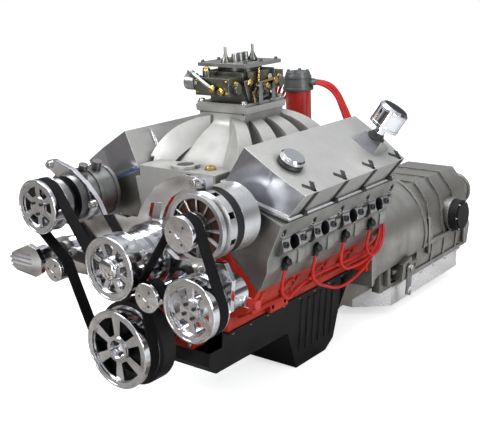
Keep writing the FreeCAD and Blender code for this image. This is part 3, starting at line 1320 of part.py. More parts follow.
def transmission():
    """Cast gearbox case: round bell, ribbed case with its pan rail and bosses, separate tail housing."""
    start = block_length + plate_gap
    bell_end = block_length + bell_length
    bell = fuse(rod(bell_radius, 14, (0, back(start), 0), "Y"),
                cone(bell_radius - 5, 178, 96, (0, back(start), 0), "Y"),
                cone(178, 166, bell_end - start - 96, (0, back(start) + 96, 0), "Y"),
                rod(170, 14, (0, back(bell_end) - 14, 0), "Y"))
    keel = prism([(-96, -132), (96, -132), (130, -50), (230, -46), (230, 230), (-230, 230), (-230, -46),
                  (-130, -50)],
                 back(start) - 1, bell_length + 20)
    over_pan = prism(pan_outline(-2), -gear_pan_low - 30, gear_pan_tall + 30, "XY")
    case = prism(case_section(150, -gear_pan_low + gear_pan_tall, 132, 56), back(bell_end) - 30,
                 case_end - bell_end + 30)
    ribs = [prism(case_section(154, -gear_pan_low + gear_pan_tall, 138, 56), back(bell_end) + step, 9)
            for step in (64, 150, 238)]
    end_plate = prism(case_section(122, -104, 128, 40), back(case_end) - 16, 16)
    rail = prism(pan_outline(0), -gear_pan_low + gear_pan_tall, 14, "XY")
    boss = rod(56, 34, (122, back(servo_back), servo_up), "X")
    ear = prism([(back(lever_back) - 40, -100), (back(lever_back) + 20, -100), (back(lever_back) + 20, -40),
                 (back(lever_back) - 30, -52)], 130, 54, "YZ")
    pivot_boss = rod(16, 54, (130, back(lever_back), lever_up), "X")
    solid = fuse(common(bell, keel), case, end_plate, rail, boss, ear, pivot_boss, *ribs)
    hollow = fuse(cone(bell_radius - 16, 168, 92, (0, back(start) - 1, 0), "Y"),
                  rod(158, bell_end - start - 110, (0, back(start) + 90, 0), "Y"))
    keep_in = prism([(-88, -122), (88, -122), (122, -42), (220, -38), (220, 220), (-220, 220), (-220, -38),
                     (-122, -42)],
                    back(start) - 2, bell_length)
    drums = rod(108, case_end - bell_end - 30, (0, back(bell_end) - 40, 0), "Y")
    output = rod(output_radius + running, 200, (0, back(case_end) - 120, 0), "Y")
    lever_hole = rod(lever_shaft + running, 90, (110, back(lever_back), lever_up), "X")
    name(cut(solid, over_pan, common(hollow, keep_in), drums, output, lever_hole), "transmission_case")
    tail = fuse(rod(80, 16, (0, back(case_end), 0), "Y"),
                cone(64, 50, tail_end - case_end - 16 - 44, (0, back(case_end) + 16, 0), "Y"),
                rod(54, 44, (0, back(tail_end) - 44, 0), "Y"),
                block(90, 80, 40, (-45, back(case_end) + 60, -80)))
    tail_bore = rod(output_radius + running, tail_end - case_end + 2, (0, back(case_end) - 1, 0), "Y")
    return name(cut(tail, tail_bore, rod(34, 30, (0, back(tail_end) - 26, 0), "Y")), "tail_housing")


def pan_outline(inset):
    """The gearbox pan's outline seen from below, with its cut front corners."""
    half = gear_pan_half + 6 - inset
    front = back(gear_pan_front) - 8 + inset
    rear = back(gear_pan_front + gear_pan_length) + 6 - inset
    return [(-half, front), (90 - half, front - 74), (half - 90, front - 74), (half, front), (half, rear),
            (-half, rear)]


def gearbox_pan():
    """Chrome transmission pan: a pressed tub with a flat rail."""
    low = -gear_pan_low
    tub = prism(pan_outline(8), low, gear_pan_tall - 4, "XY")
    rail = prism(pan_outline(0), low + gear_pan_tall - 4, 4, "XY")
    room = prism(pan_outline(11), low + 3, gear_pan_tall, "XY")
    return name(cut(fuse(tub, rail), room), "transmission_pan")


def gearbox_outside():
    """Round side cover, selector lever, output shaft and the plate between block and bell."""
    name(fuse(rod(50, 26, (156, back(servo_back), servo_up), "X"),
              rod(42, 5, (182, back(servo_back), servo_up), "X")),
         "servo_cover")
    arm = prism([(back(lever_back) - 10, lever_up + 12), (back(lever_back) + 12, lever_up + 8),
                 (back(lever_back) + 2, lever_up - 86), (back(lever_back) - 26, lever_up - 74)], 186, 4, "YZ")
    name(fuse(rod(lever_shaft, 72, (116, back(lever_back), lever_up), "X"), arm), "shift_lever")
    name(rod(output_radius, tail_end - case_end + 80, (0, back(case_end) - 90, 0), "Y"), "output_shaft")
    half = [(130, -50), (208, -46), (208, 60), (168, 128), (90, 196)]
    points = [(-98, -134), (98, -134)] + half + [(-x, z) for x, z in reversed(half)]
    name(cut(prism(points, back(block_length), plate_gap),
             rod(ring_gear + 4, 10, (0, back(block_length) - 1, 0), "Y")), "bell_plate")


def converter():
    """Flexplate with its ring gear, and the torque converter bolted to it."""
    start = back(block_length) + 11
    name(cut(rod(ring_gear, 12, (0, start, 0), "Y"), rod(ring_gear - 14, 9, (0, start + 4, 0), "Y")),
         "flexplate")
    wide = ring_gear - 8
    drum = fuse(cone(wide - 34, wide, 24, (0, start + 4, 0), "Y"), rod(wide, 78, (0, start + 28, 0), "Y"),
                cone(wide, 50, 50, (0, start + 106, 0), "Y"), rod(30, 80, (0, start + 150, 0), "Y"))
    return name(drum, "torque_converter")


engine_block()
main_caps()
crankshaft()
pistons()
camshaft()
timing_chain()
timing_cover()
oil_pan()
oil_pump()
pulleys()
serpentine_belt()
idler()
tensioner()
accessory_plate()
water_pump()
alternator()
compressor()
steering_pump()
damper()
for side_name in SIDES:
    head(side_name)
    valve_cover(side_name)
head_gaskets()
valve_gear()
valve_cover_gaskets()
caps_on_cover()
intake_manifold()
carburettor()
throttle("primary_throttle", -1)
throttle("secondary_throttle", 1)
distributor()
spark_plugs()
ignition_leads()
transmission()
gearbox_pan()
gearbox_outside()
converter()

doc.recompute()
for thing in doc.Objects:
    for word in ("Invalid", "Error"):
        if word in thing.State:
            raise RuntimeError("%s (%s) is %s" % (thing.Label, thing.Name, thing.State))
os.makedirs("parts", exist_ok=True)
for part in parts:
    if part.Shape.isNull() or not part.Shape.isValid():
        raise RuntimeError("%s has no valid shape" % part.Label)
    part.Shape.exportStep("parts/%s.step" % part.Label)
    print(part.Label, len(part.Shape.Solids), round(part.Shape.Volume / 1000, 1))
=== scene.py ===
import bpy
import json
import math
from mathutils import Euler, Matrix, Vector


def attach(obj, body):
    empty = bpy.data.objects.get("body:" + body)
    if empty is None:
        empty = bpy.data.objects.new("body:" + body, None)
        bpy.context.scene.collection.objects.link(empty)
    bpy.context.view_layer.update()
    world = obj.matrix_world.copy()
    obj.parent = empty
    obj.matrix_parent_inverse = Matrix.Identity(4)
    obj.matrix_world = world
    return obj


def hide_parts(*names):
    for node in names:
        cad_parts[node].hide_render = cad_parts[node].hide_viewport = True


# A V8 engine with its automatic transmission, dressed for a studio picture. Metres throughout,
# crankshaft along Y, pulleys facing -Y, +X the engine's left side, +Z up.
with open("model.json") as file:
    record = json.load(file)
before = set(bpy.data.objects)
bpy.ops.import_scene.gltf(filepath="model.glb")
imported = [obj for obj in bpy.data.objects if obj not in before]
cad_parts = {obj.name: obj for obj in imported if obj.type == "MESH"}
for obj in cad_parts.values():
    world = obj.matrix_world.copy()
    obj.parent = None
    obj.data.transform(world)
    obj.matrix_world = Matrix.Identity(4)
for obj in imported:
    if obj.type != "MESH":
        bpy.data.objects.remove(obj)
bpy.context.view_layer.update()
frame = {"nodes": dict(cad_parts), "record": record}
cad = frame["nodes"]
body_with = {node: body for body, nodes in frame["record"]["behaviour"]["bodies"].items() for node in nodes}
LEFT, FRONT, BACK, UP, DOWN = (1, 0, 0), (0, -1, 0), (0, 1, 0), (0, 0, 1), (0, 0, -1)

# Camera: the photograph's angle and framing, a long lens from the front left and a little above.
azimuth, elevation, roll = math.radians(38.38), math.radians(15.36), math.radians(-2.04)
aim = Euler((0, 0, azimuth)).to_matrix() @ Euler((math.pi / 2 - elevation, 0, 0)).to_matrix()
aim = aim @ Euler((0, 0, roll)).to_matrix()
bpy.ops.object.camera_add(location=(1.408, -1.674, 0.827), rotation=aim.to_euler())
camera = bpy.context.object
camera.data.sensor_width = 36
camera.data.lens = 68.2
camera.data.shift_x = -0.0215
camera.data.shift_y = -0.0092
camera.data.clip_end = 60
bpy.context.scene.camera = camera
bpy.context.scene.view_settings.view_transform = "Standard"


# Studio floor: a wide matt card just under the oil pan. The camera sees it white, and the polished
# pieces see a cloudy grey and brown one that is lighter towards the engine's left.
def add(tree, kind, **values):
    """A new shader node with input values; an underscore stands for the space in an input's name."""
    node = tree.nodes.new("ShaderNode" + kind)
    for label, value in values.items():
        node.inputs[label.replace("_", " ")].default_value = value
    return node


def wire(tree, *pairs):
    """Joins sockets two by two, each source with the target after it."""
    for source, target in zip(pairs[::2], pairs[1::2]):
        tree.links.new(source, target)


def blend(tree, factor, first, second):
    """A mix of two colours, each a socket or a fixed colour."""
    node = tree.nodes.new("ShaderNodeMix")
    node.data_type = "RGBA"
    wire(tree, factor, node.inputs["Factor"])
    for label, tone in (("A", first), ("B", second)):
        if isinstance(tone, tuple):
            node.inputs[label].default_value = (*tone, 1)
        else:
            wire(tree, tone, node.inputs[label])
    return node.outputs["Result"]


def set_ramp(node, low, high, *between):
    """Sets a colour ramp's two ends and the stops between them, each a place and a colour."""
    for stop, (place, tone) in zip(node.color_ramp.elements, (low, high)):
        stop.position = place
        stop.color = (*tone, 1)
    for place, tone in between:
        node.color_ramp.elements.new(place).color = (*tone, 1)


def show_camera(tree, direct, other, output):
    """Shows the camera one shader and all other rays another."""
    seen, pick = add(tree, "LightPath"), add(tree, "MixShader")
    wire(tree, seen.outputs["Is Camera Ray"], pick.inputs[0], other.outputs[0], pick.inputs[1],
         direct.outputs[0], pick.inputs[2], pick.outputs[0], tree.nodes[output].inputs["Surface"])


bpy.ops.mesh.primitive_plane_add(size=16, location=(0, 0.4, -0.2275))
floor = bpy.context.object
floor.name = "studio_floor"
floor_paint = bpy.data.materials.new("pale floor")
floor_paint.use_nodes = True
tree = floor_paint.node_tree
white_floor = tree.nodes["Principled BSDF"]
for label, value in (("Base Color", (0.93, 0.93, 0.93, 1)), ("Roughness", 0.9),
                     ("Emission Color", (1, 1, 1, 1)), ("Emission Strength", 0.55)):
    white_floor.inputs[label].default_value = value
dim_floor = add(tree, "BsdfDiffuse")
on_floor, sideways = add(tree, "TexCoord"), add(tree, "SeparateXYZ")
clouds = add(tree, "TexNoise", Scale=5.5, Detail=2.0)
greys = add(tree, "ValToRGB")
set_ramp(greys, (0.36, (0.035, 0.033, 0.032)), (0.62, (0.56, 0.55, 0.54)), (0.49, (0.22, 0.195, 0.165)))
leftward = add(tree, "MapRange", From_Min=0.15, From_Max=0.9)
wire(tree, on_floor.outputs["Object"], clouds.inputs["Vector"],
     on_floor.outputs["Object"], sideways.inputs[0], clouds.outputs["Fac"], greys.inputs["Fac"],
     sideways.outputs["X"], leftward.inputs["Value"],
     blend(tree, leftward.outputs["Result"], greys.outputs["Color"], (0.62, 0.64, 0.66)),
     dim_floor.inputs["Color"])
show_camera(tree, white_floor, dim_floor, "Material Output")
floor.data.materials.append(floor_paint)

# Studio sky: white to the camera. The polished pieces see it pale overhead, dark at eye height and
# warm near the ground.
sky = bpy.data.worlds.new("studio sky")
bpy.context.scene.world = sky
sky.use_nodes = True
tree = sky.node_tree
backdrop = tree.nodes["Background"]
backdrop.inputs["Strength"].default_value = 1.0
direction, height, tones = add(tree, "TexCoord"), add(tree, "SeparateXYZ"), add(tree, "ValToRGB")
set_ramp(tones, (0.0, (0.12, 0.1, 0.085)), (1.0, (0.9, 0.9, 0.92)), (0.07, (0.2, 0.17, 0.15)),
         (0.14, (0.045, 0.045, 0.05)), (0.26, (0.1, 0.105, 0.12)), (0.34, (0.62, 0.64, 0.68)),
         (0.6, (0.42, 0.44, 0.47)), (0.75, (0.8, 0.82, 0.85)))
wire(tree, direction.outputs["Generated"], height.inputs[0], height.outputs["Z"], tones.inputs["Fac"],
     tones.outputs["Color"], backdrop.inputs["Color"])
show_camera(tree, add(tree, "Background", Color=(1, 1, 1, 1), Strength=1.0), backdrop, "World Output")

# Studio lights: soft boxes in front, at the left side and overhead, and a narrow strip low in
# front for the pulleys. Each faces a point of the engine.
for name, place, target, width, depth, power in (
        ("key_light", (-1.6, -2.6, 2.6), (0, 0, 0.2), 1.6, 1.2, 66),
        ("side_light", (3.2, -0.4, 1.6), (0, 0.2, 0.2), 0.7, 2.4, 70),
        ("top_light", (0.2, 0.5, 3.2), (0, 0.4, 0.2), 1.8, 2.4, 48),
        ("front_strip", (0.7, -3.2, 0.5), (0, -0.3, 0.15), 0.35, 1.6, 26)):
    turn = (Vector(place) - Vector(target)).to_track_quat("Z", "Y").to_euler()
    bpy.ops.object.light_add(type="AREA", location=place, rotation=turn)
    lamp = bpy.context.object
    lamp.name = name
    lamp.data.shape = "RECTANGLE"
    lamp.data.size = width
    lamp.data.size_y = depth
    lamp.data.energy = power


# Engine block and timing cover: grey iron castings, machined where they join and sprayed in one
# coat of red-orange enamel that wears thin on the edges, with painted shade darkening its hollows.
def calc(tree, kind, first, second=None, node="Math"):
    """One sum in a shader tree, on sockets or fixed values."""
    made = tree.nodes.new("ShaderNode" + node)
    made.operation = kind
    for socket, value in zip(made.inputs, (first, second)):
        if isinstance(value, (int, float, tuple)):
            socket.default_value = value
        elif value is not None:
            wire(tree, value, socket)
    return made.outputs["Value" if kind in ("DOT_PRODUCT", "LENGTH") else 0]


def new_group(name, inputs, outputs):
    """An empty shader node group with named inputs and outputs."""
    tree = bpy.data.node_groups.new(name, "ShaderNodeTree")
    for label, kind, value in inputs:
        socket = tree.interface.new_socket(name=label, in_out="INPUT", socket_type=kind)
        socket.default_value = value
    for label, kind in outputs:
        tree.interface.new_socket(name=label, in_out="OUTPUT", socket_type=kind)
    return tree, tree.nodes.new("NodeGroupInput"), tree.nodes.new("NodeGroupOutput")


FLOAT, VECTOR = "NodeSocketFloat", "NodeSocketVector"
edge_group, given, gives = new_group(
    "rounded worn edge", [("Radius", FLOAT, 0.0008), ("Wear", FLOAT, 1.0)],
    [("Normal", VECTOR), ("Mask", FLOAT)])
rounded, plain = add(edge_group, "Bevel"), add(edge_group, "NewGeometry")
rounded.samples = 4
rub, where = add(edge_group, "TexNoise", Scale=90), add(edge_group, "TexCoord")
facing = calc(edge_group, "DOT_PRODUCT", rounded.outputs[0], plain.outputs["Normal"], "VectorMath")
sharpness = calc(edge_group, "MULTIPLY", calc(edge_group, "SUBTRACT", 1.0, facing), 6.0)
worn_spots = calc(edge_group, "MULTIPLY", sharpness, rub.outputs["Fac"])
worn_spots = calc(edge_group, "MULTIPLY", worn_spots, given.outputs["Wear"])
wire(edge_group, given.outputs["Radius"], rounded.inputs["Radius"],
     where.outputs["Object"], rub.inputs["Vector"],
     calc(edge_group, "MINIMUM", worn_spots, 1.0), gives.inputs["Mask"],
     rounded.outputs[0], gives.inputs["Normal"])

grain_group, given, gives = new_group(
    "cast grain", [("Scale", FLOAT, 700.0)], [("Height", FLOAT), ("Patch", FLOAT), ("Speck", FLOAT)])
fine, broad = add(grain_group, "TexNoise", Detail=5), add(grain_group, "TexNoise", Scale=16, Detail=4)
pits, where = add(grain_group, "TexVoronoi"), add(grain_group, "TexCoord")
contrast = add(grain_group, "MapRange", From_Min=0.35, From_Max=0.65)
for texture in (fine, broad, pits):
    wire(grain_group, where.outputs["Object"], texture.inputs["Vector"])
wire(grain_group, given.outputs["Scale"], fine.inputs["Scale"],
     calc(grain_group, "MULTIPLY", given.outputs["Scale"], 0.6), pits.inputs["Scale"])
pitted = calc(grain_group, "MULTIPLY", calc(grain_group, "MINIMUM", pits.outputs["Distance"], 0.4), 0.9)
wire(grain_group, calc(grain_group, "ADD", fine.outputs["Fac"], pitted), gives.inputs["Height"],
     broad.outputs["Fac"], contrast.inputs["Value"], contrast.outputs["Result"], gives.inputs["Patch"],
     fine.outputs["Fac"], gives.inputs["Speck"])

# Painted shade: ambient occlusion darkens hollows, corners and creases where shade falls.
cavity_shade_group, given, gives = new_group("painted cavity shade", [("Reach", FLOAT, 0.03)], [("Unshaded", FLOAT)])
hollows = add(cavity_shade_group, "AmbientOcclusion")
hollows.samples = 4
wire(cavity_shade_group, given.outputs["Reach"], hollows.inputs["Distance"],
     calc(cavity_shade_group, "POWER", hollows.outputs["AO"], 1.6), gives.inputs["Unshaded"])


def use_group(tree, group, **values):
    """Places a shared group in a material with its own values."""
    node = tree.nodes.new("ShaderNodeGroup")
    node.node_tree = group
    for label, value in values.items():
        node.inputs[label].default_value = value
    return node


def finish_of(name, colour, other, roughness, spread, metallic, grain=700.0, depth=0.00004, edge=0.0008,
              wear=0.0, worn=(0.6, 0.6, 0.6), coat=0.0, centre=None, specular=0.5, painted_shade=0.0, reach=0.03):
    """A surface finish: two tones in patches, uneven gloss, fine relief, rounded edges and painted shade in
    hollows.
    """
    material = bpy.data.materials.new(name)
    material.use_nodes = True
    tree = material.node_tree
    shader = tree.nodes["Principled BSDF"]
    for label, value in (("Metallic", metallic), ("Specular IOR Level", specular), ("Coat Weight", coat),
                         ("Coat Roughness", 0.06)):
        shader.inputs[label].default_value = value
    casting = use_group(tree, grain_group, Scale=grain)
    corner = use_group(tree, edge_group, Radius=edge, Wear=wear)
    tone = blend(tree, casting.outputs["Patch"], colour, other)
    tone = blend(tree, corner.outputs["Mask"], tone, worn)
    # Painted shade: in occluded hollows the colour is pulled toward a darkened second tone.
    if painted_shade:
        hollow_shade = use_group(tree, cavity_shade_group, Reach=reach)
        tone = blend(tree, hollow_shade.outputs["Unshaded"], tuple(part * (1 - painted_shade) for part in other), tone)
    wire(tree, tone, shader.inputs["Base Color"])
    gloss = add(tree, "MapRange", To_Min=max(0.02, roughness - spread), To_Max=roughness + spread)
    unevenness = calc(tree, "ADD", casting.outputs["Patch"], casting.outputs["Speck"])
    relief = add(tree, "Bump", Distance=depth, Strength=1.0)
    pattern = use_group(tree, turning_group, Centre=centre) if centre else casting
    wire(tree, calc(tree, "MULTIPLY", unevenness, 0.5), gloss.inputs["Value"],
         gloss.outputs["Result"], shader.inputs["Roughness"],
         pattern.outputs["Height"], relief.inputs["Height"],
         corner.outputs["Normal"], relief.inputs["Normal"],
         relief.outputs["Normal"], shader.inputs["Normal"])
    return material


def dress(material, slot, *nodes):
    """Smooth-shaded surfaces that stand for CAD nodes, each in the same place and of the same shape."""
    pieces = []
    for node in nodes:
        bpy.ops.object.select_all(action="DESELECT")
        bpy.context.view_layer.objects.active = cad[node]
        cad[node].select_set(True)
        bpy.ops.object.duplicate()
        piece = bpy.context.object
        piece.name = node + "_surface"
        bpy.ops.object.mode_set(mode="EDIT")
        bpy.ops.mesh.select_all(action="SELECT")
        bpy.ops.mesh.remove_doubles(threshold=0.000005)
        bpy.ops.mesh.customdata_custom_splitnormals_clear()
        bpy.ops.object.mode_set(mode="OBJECT")
        bpy.ops.object.shade_smooth_by_angle(angle=math.radians(32))
        piece.data.materials.clear()
        piece.data.materials.append(material)
        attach(piece, body_with[node])
        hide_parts(node)
        pieces.append(piece)
    return pieces


enamel = finish_of("engine enamel", (0.55, 0.034, 0.011), (0.4, 0.017, 0.007), 0.4, 0.1, 0.0, grain=420,
                   depth=0.00012, edge=0.0015, wear=0.5, worn=(0.25, 0.02, 0.01), coat=0.12, specular=0.3,
                   painted_shade=0.7)
dress(enamel, "engine_red", "engine_block", "timing_cover")


# Core plugs: pressed steel cups driven into the holes in the block's sides that the casting's
# cores left, painted with the block.
def only(*things):
    """Selects these objects and nothing else."""
    bpy.ops.object.select_all(action="DESELECT")
    for thing in things:
        thing.select_set(True)
    bpy.context.view_layer.objects.active = things[0]


def lathe(steps, sides=32, hollow_shade=False):
    """A turned piece on the origin from rings of radius and height; a hollow one comes full circle."""
    bpy.ops.object.select_all(action="DESELECT")
    bpy.ops.mesh.primitive_circle_add(vertices=sides, radius=steps[0][0], location=(0, 0, 0),
                                      fill_type="NOTHING" if hollow_shade else "NGON")
    piece = bpy.context.object
    bpy.ops.object.mode_set(mode="EDIT")
    bpy.ops.mesh.select_all(action="SELECT")
    before, level = steps[0]
    for radius, rise in steps[1:] + (steps[:1] if hollow_shade else []):
        bpy.ops.mesh.extrude_region_move(TRANSFORM_OT_translate={"value": (0, 0, rise - level)})
        bpy.ops.transform.resize(value=(radius / before, radius / before, 1), center_override=(0, 0, rise))
        before, level = radius, rise
    bpy.ops.mesh.select_all(action="SELECT")
    bpy.ops.mesh.remove_doubles(threshold=0.00001)
    bpy.ops.mesh.normals_make_consistent(inside=False)
    bpy.ops.object.mode_set(mode="OBJECT")
    return piece


def joined(*things):
    """Several finished meshes made one."""
    for thing in things:
        only(thing)
        bpy.ops.object.transform_apply(location=True, rotation=True, scale=True)
    only(*things)
    bpy.ops.object.join()
    return bpy.context.object


def copy_to(model, spots):
    """Copies of a piece at many places, each a point and the way it points, joined into one."""
    copies = []
    for place, way in spots:
        only(model)
        bpy.ops.object.duplicate()
        made = bpy.context.object
        made.rotation_euler = Vector(way).to_track_quat("Z", "Y").to_euler()
        made.location = place
        copies.append(made)
    whole = joined(*copies)
    only(model)
    bpy.ops.object.delete()
    return whole


def set_down(piece, name, material, body="engine", angle=35):
    """Finishes a piece: its place goes into its mesh, and it rides on a body."""
    only(piece)
    bpy.ops.object.transform_apply(location=True, rotation=True, scale=True)
    bpy.ops.object.shade_smooth_by_angle(angle=math.radians(angle))
    piece.name = name
    piece.data.materials.clear()
    piece.data.materials.append(material)
    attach(piece, body)
    return piece


def back(along):
    """Y of a point that lies this far behind the block's front face."""
    return along - 0.18


bore_pitch, first_bore, right_lag = 0.123, 0.072, 0.022
banks = ((1, 0), (-1, right_lag))  # side of the engine, and how far that bank stands back
spots = [((side * 0.219, back(0.1335 + lag + bore_pitch * gap), 0.087), (side, 0, -0.586))
         for side, lag in banks for gap in range(3)]
cup = lathe([(0.025, -0.002), (0.025, 0.003), (0.0235, 0.0045), (0.0205, 0.0045),
             (0.0195, 0.0005), (0.01, 0.0)], 40)
set_down(copy_to(cup, spots), "core_plugs", enamel)


# Block ribs: raised ribs cast on the block's sides, upright between the bores and one along the
# foot of the bank, which stiffen the thin walls.
def bar(width, depth, tall, at, turn=(0, 0, 0), soft=0.001):
    """A block with rounded edges, centred on a point."""
    bpy.ops.object.select_all(action="DESELECT")
    bpy.ops.mesh.primitive_cube_add(size=1, location=at, rotation=turn)
    piece = bpy.context.object
    piece.scale = (width, depth, tall)
    bpy.ops.object.transform_apply(location=False, rotation=False, scale=True)
    bpy.ops.object.mode_set(mode="EDIT")
    bpy.ops.mesh.select_all(action="SELECT")
    bpy.ops.mesh.bevel(offset=soft, segments=2, affect="EDGES")
    bpy.ops.object.mode_set(mode="OBJECT")
    return piece


bank_wall_turn = math.atan2(0.506, 0.863)
ribs = []
for side, lag in banks:
    for along in (0.03, 0.168, 0.291, 0.414, 0.5):
        ribs += [bar(0.012, 0.013, 0.06, (side * 0.215, back(along), 0.084),
                     (0, side * bank_wall_turn, 0), 0.003),
                 bar(0.012, 0.013, 0.05, (side * 0.177, back(along), 0.044), (0, side * 1.1, 0), 0.003)]
    ribs.append(bar(0.014, 0.5, 0.014, (side * 0.202, 0.086, 0.056), (0, side * 0.7, 0), 0.004))
set_down(joined(*ribs), "block_ribs", enamel)


# Timing cover bolts: flanged hexagon heads of plated steel down both edges of the cover.
def hex_bolt(across, tall):
    """A flanged hexagon bolt head with a chamfered top."""
    flange = lathe([(across * 0.72, 0), (across * 0.72, tall * 0.18), (across * 0.55, tall * 0.32)], 24)
    head = lathe([(across * 0.56, tall * 0.2), (across * 0.56, tall * 0.88), (across * 0.46, tall)], 6)
    return joined(flange, head)


bolt_steel = finish_of("plated bolt", (0.62, 0.61, 0.58), (0.5, 0.49, 0.46), 0.24, 0.08, 1.0, grain=1500,
                       depth=0.00001)
spots = [((side * x, -0.226, z), FRONT) for side in (-1, 1) for x, z in (
    (0.066, -0.034), (0.089, 0.000), (0.09, 0.05), (0.086, 0.1), (0.08, 0.15))]
set_down(copy_to(hex_bolt(0.0065, 0.006), spots), "timing_cover_bolts", bolt_steel)


# What turns and moves inside: iron caps, camshaft and pump, machined steel shafts, gears and thin
# steel gaskets, and cast pistons. The CAD's own shapes take these finishes.
def recolour(material, *nodes):
    """Gives CAD nodes a finish."""
    for node in nodes:
        cad[node].data.materials.clear()
        cad[node].data.materials.append(material)


dark_iron = finish_of("dark iron", (0.1, 0.1, 0.105), (0.06, 0.06, 0.062), 0.5, 0.15, 0.9)
recolour(dark_iron, "main_caps", "camshaft", "oil_pump")
steel = finish_of("machined steel", (0.46, 0.46, 0.47), (0.36, 0.36, 0.37), 0.28, 0.12, 1.0, grain=900,
                  depth=0.00001)
recolour(steel, "crankshaft", "valve_gear", "timing_chain", "alternator_rotor", "distributor_rotor",
         "primary_throttle", "secondary_throttle", "output_shaft", "flexplate", "torque_converter",
         "head_gaskets", "spark_plugs")
recolour(finish_of("piston alloy", (0.55, 0.55, 0.56), (0.45, 0.45, 0.46), 0.35, 0.1, 1.0), "pistons")

# Oil pan: deep-drawn sheet steel in satin black, with pressed flutes down the sides of the sump
# and a row of rail bolts. The drain plug sits low on the left.
black_paint = finish_of("satin black paint", (0.006, 0.006, 0.007), (0.012, 0.012, 0.013), 0.5, 0.1, 0.0,
                        grain=300, depth=0.00003, edge=0.0012, specular=0.25)
dress(black_paint, "black_paint", "oil_pan")
flutes = [bar(0.006, 0.012, 0.15, (side * 0.1195, 0.15 + 0.03 * index, -0.105), (0, side * 0.1, 0), 0.0025)
          for side in (1, -1) for index in range(6)]
set_down(joined(*flutes), "pan_flutes", black_paint)
spots = [((side * 0.143, -0.16 + 0.068 * index, -0.0073), DOWN) for side in (-1, 1) for index in range(8)]
set_down(copy_to(hex_bolt(0.0065, 0.006), spots), "pan_bolts", bolt_steel)
drain = joined(lathe([(0.015, 0), (0.015, 0.002)]),
               lathe([(0.0105, 0.0018), (0.0105, 0.009), (0.0092, 0.0105)], 6))
set_down(copy_to(drain, [((0.0995, 0.18, -0.185), (1, 0, -0.15))]), "drain_plug", bolt_steel)

# Cylinder heads: sand-cast aluminium, bolted on each bank. The flats of the exhaust pads are
# milled bright, and the rest keeps its dull cast skin.
head_alloy = finish_of("head casting", (0.4, 0.4, 0.375), (0.27, 0.275, 0.25), 0.4, 0.14, 0.9, grain=380,
                       depth=0.0002, edge=0.002, wear=0.9, worn=(0.85, 0.85, 0.84), painted_shade=0.9, reach=0.04)
milled = finish_of("milled face", (0.74, 0.74, 0.74), (0.6, 0.6, 0.6), 0.2, 0.08, 1.0, grain=900,
                   depth=0.00003, edge=0.0015, wear=0.8, worn=(0.9, 0.9, 0.9))


def face_finish(piece, material, chosen):
    """Gives the faces that a test picks another finish."""
    piece.data.materials.append(material)
    for face in piece.data.polygons:
        if chosen(face):
            face.material_index = len(piece.data.materials) - 1


def on_exhaust_pad(face):
    """True for the milled flats of the exhaust pads."""
    return abs(face.normal.x) > 0.9 and abs(face.center.x) > 0.286 and 0.206 < face.center.z < 0.244


for piece in dress(head_alloy, "cast_alloy", "cylinder_head_left", "cylinder_head_right"):
    face_finish(piece, milled, on_exhaust_pad)

# Head bosses: swellings cast between the exhaust pads for the bolts, and rounder ones under them
# between the plugs.
bosses = []
for side, lag in banks:
    for gap in range(1, 5):
        y = back(0.0105 + lag + bore_pitch * gap)
        bosses += [bar(0.03, 0.026, 0.03, (side * 0.272, y, 0.222), (0, side * 0.25, 0), 0.006),
                   bar(0.02, 0.034, 0.046, (side * 0.259, y, 0.176), (0, side * 0.1, 0), 0.008)]
set_down(joined(*bosses), "head_bosses", head_alloy)


# Head bolts and exhaust studs: socket heads at the bottom of the round recesses, and black
# threaded plugs on both sides of each exhaust port.
def socket_bolt(radius, tall):
    """A socket head bolt: round head, bevelled rim and a sunken drive."""
    return lathe([(radius, 0), (radius, tall * 0.85), (radius * 0.88, tall), (radius * 0.5, tall),
                  (radius * 0.5, tall * 0.35)], 24)


black_bolt = finish_of("black bolt", (0.03, 0.03, 0.032), (0.05, 0.05, 0.05), 0.38, 0.1, 0.6, grain=1500,
                       depth=0.00002)
spots = [((side * 0.2845, back(first_bore + lag - 0.046 + 0.117 * index), 0.2508), (side, 0, 0.3))
         for side, lag in banks for index in range(5)]
set_down(copy_to(socket_bolt(0.0078, 0.006), spots), "head_bolts", bolt_steel)
spots = [((side * 0.2905, back(first_bore + lag + bore_pitch * index + step), 0.2255), (side, 0, 0.1))
         for side, lag in banks for index in range(4) for step in (-0.034, 0.034)]
set_down(copy_to(socket_bolt(0.0075, 0.005), spots), "exhaust_studs", black_bolt)


# Plug seats: bright machined rings round the spark plugs, where each plug's washer closes on the
# head.
def plug_line(side, along, out):
    """A point on a spark plug's axis, counted outward from its seat."""
    share = out / math.hypot(1, 0.42)
    return Vector((side * (0.241 + share), back(along), 0.1604 + 0.42 * share))


spots = [(plug_line(side, first_bore + lag + bore_pitch * index, 0.002), (side, 0, 0.42))
         for side, lag in banks for index in range(4)]
washer = lathe([(0.0125, 0), (0.014, 0.0005), (0.014, 0.003), (0.0125, 0.0038), (0.01, 0.0036)])
set_down(copy_to(washer, spots), "plug_seats", milled)

# Intake manifold: one tall aluminium casting that fills the valley, blasted to an even grey. A
# square-headed brass plug closes the water passage beside the thermostat opening.
cast_alloy = finish_of("cast aluminium", (0.58, 0.58, 0.555), (0.48, 0.48, 0.46), 0.48, 0.12, 0.7, grain=520,
                       depth=0.00016, edge=0.0012, wear=0.6, worn=(0.75, 0.75, 0.74), painted_shade=0.75, reach=0.04)
dress(cast_alloy, "cast_alloy", "intake_manifold")
brass = finish_of("brass fittings", (0.62, 0.44, 0.16), (0.5, 0.36, 0.14), 0.24, 0.08, 1.0, grain=900,
                  depth=0.00002)
plug = joined(lathe([(0.012, 0), (0.012, 0.006), (0.0105, 0.008)], 24),
              lathe([(0.0055, 0.007), (0.0055, 0.016), (0.0048, 0.017)], 4))
set_down(copy_to(plug, [((0.066, -0.122, 0.366), UP)]), "pipe_plug", brass)

